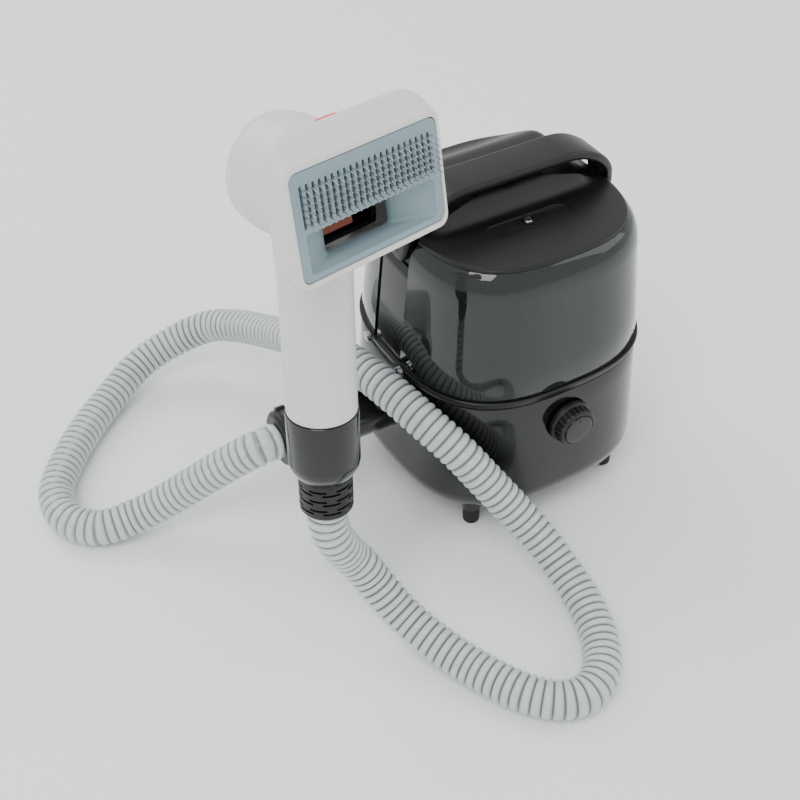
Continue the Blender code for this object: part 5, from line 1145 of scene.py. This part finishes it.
class DRYER_OT_stage(bpy.types.Operator):
    """Pale floor, soft light and the camera"""
    bl_idname = "dryer.stage"
    bl_label = "Stage"

    def execute(self, context):
        scene = context.scene
        floor = bpy.data.meshes.new("floor")
        bm = box((-30, -30, -0.02), (30, 30, 0))
        bm.to_mesh(floor)
        bm.free()
        paint, tree, shader = new_material("studio_floor")
        shader.inputs["Base Color"].default_value = linear("FBFBFB")
        shader.inputs["Roughness"].default_value = 0.7
        floor.materials.append(paint)
        ground = bpy.data.objects.new("floor", floor)
        scene.collection.objects.link(ground)
        lamps = (("key", (-1.1, -0.9, 2.3), 30, 1.2), ("fill", (1.8, -0.9, 1.5), 9, 1.4),
                 ("rim", (-0.6, 1.9, 1.8), 24, 1.6))
        aim = Vector((-0.1, 0, 0.15))
        for name, place, power, width in lamps:
            data = bpy.data.lights.new(name, "AREA")
            data.energy, data.size = power, width
            light = bpy.data.objects.new(name, data)
            light.location = place
            light.rotation_euler = (aim - Vector(place)).to_track_quat("-Z", "Y").to_euler()
            scene.collection.objects.link(light)
        world = bpy.data.worlds.new("studio")
        world.use_nodes = True
        world.node_tree.nodes["Background"].inputs["Color"].default_value = (0.95, 0.97, 1.0, 1.0)
        world.node_tree.nodes["Background"].inputs["Strength"].default_value = 1.05
        scene.world = world
        data = bpy.data.cameras.new("camera")
        data.lens, data.sensor_width = 60.75, 36
        camera = bpy.data.objects.new("camera", data)
        camera.matrix_world = Matrix((
            (0.86163, 0.33961, -0.37717, 0), (-0.50754, 0.57654, -0.64032, 0),
            (0.0, 0.74314, 0.66913, 0), (0, 0, 0, 1)))
        camera.location = CENTRE + Vector((-546.3, -759.8, 886.2)) * MM
        scene.collection.objects.link(camera)
        scene.camera = camera
        return {"FINISHED"}


class DRYER_PT_panel(bpy.types.Panel):
    """Sizes, colours and the steps that build the dryer"""
    bl_label = "Pet dryer"
    bl_idname = "DRYER_PT_panel"
    bl_space_type = "VIEW_3D"
    bl_region_type = "UI"
    bl_category = "Dryer"

    def draw(self, context):
        column = self.layout.column()
        for group in (context.scene.dryer_sizes, context.scene.dryer_colours):
            for name in group.bl_rna.properties.keys():
                if name not in ("rna_type", "name"):
                    column.prop(group, name)
        for step in STEPS:
            column.operator(step.bl_idname)


STEPS = (DRYER_OT_base, DRYER_OT_knob, DRYER_OT_bin, DRYER_OT_lid, DRYER_OT_handle, DRYER_OT_head,
         DRYER_OT_grip, DRYER_OT_hose, DRYER_OT_finishes, DRYER_OT_stage)
CLASSES = (DryerSizes, DryerColours) + STEPS + (DRYER_PT_panel,)


def register():
    for cls in CLASSES:
        bpy.utils.register_class(cls)
    bpy.types.Scene.dryer_sizes = bpy.props.PointerProperty(type=DryerSizes)
    bpy.types.Scene.dryer_colours = bpy.props.PointerProperty(type=DryerColours)


def unregister():
    del bpy.types.Scene.dryer_colours
    del bpy.types.Scene.dryer_sizes
    for cls in reversed(CLASSES):
        bpy.utils.unregister_class(cls)


def main():
    register()
    MATERIALS.update(make_materials(bpy.context.scene.dryer_colours))
    TREES.update(repeat=repeat_tree(), tube=ribbed_tube_tree())
    for step in STEPS:
        operator = getattr(bpy.ops.dryer, step.bl_idname.split(".")[1])
        if operator() != {"FINISHED"}:
            raise RuntimeError(step.bl_idname + " didn't finish")


if __name__ == "__main__":
    main()
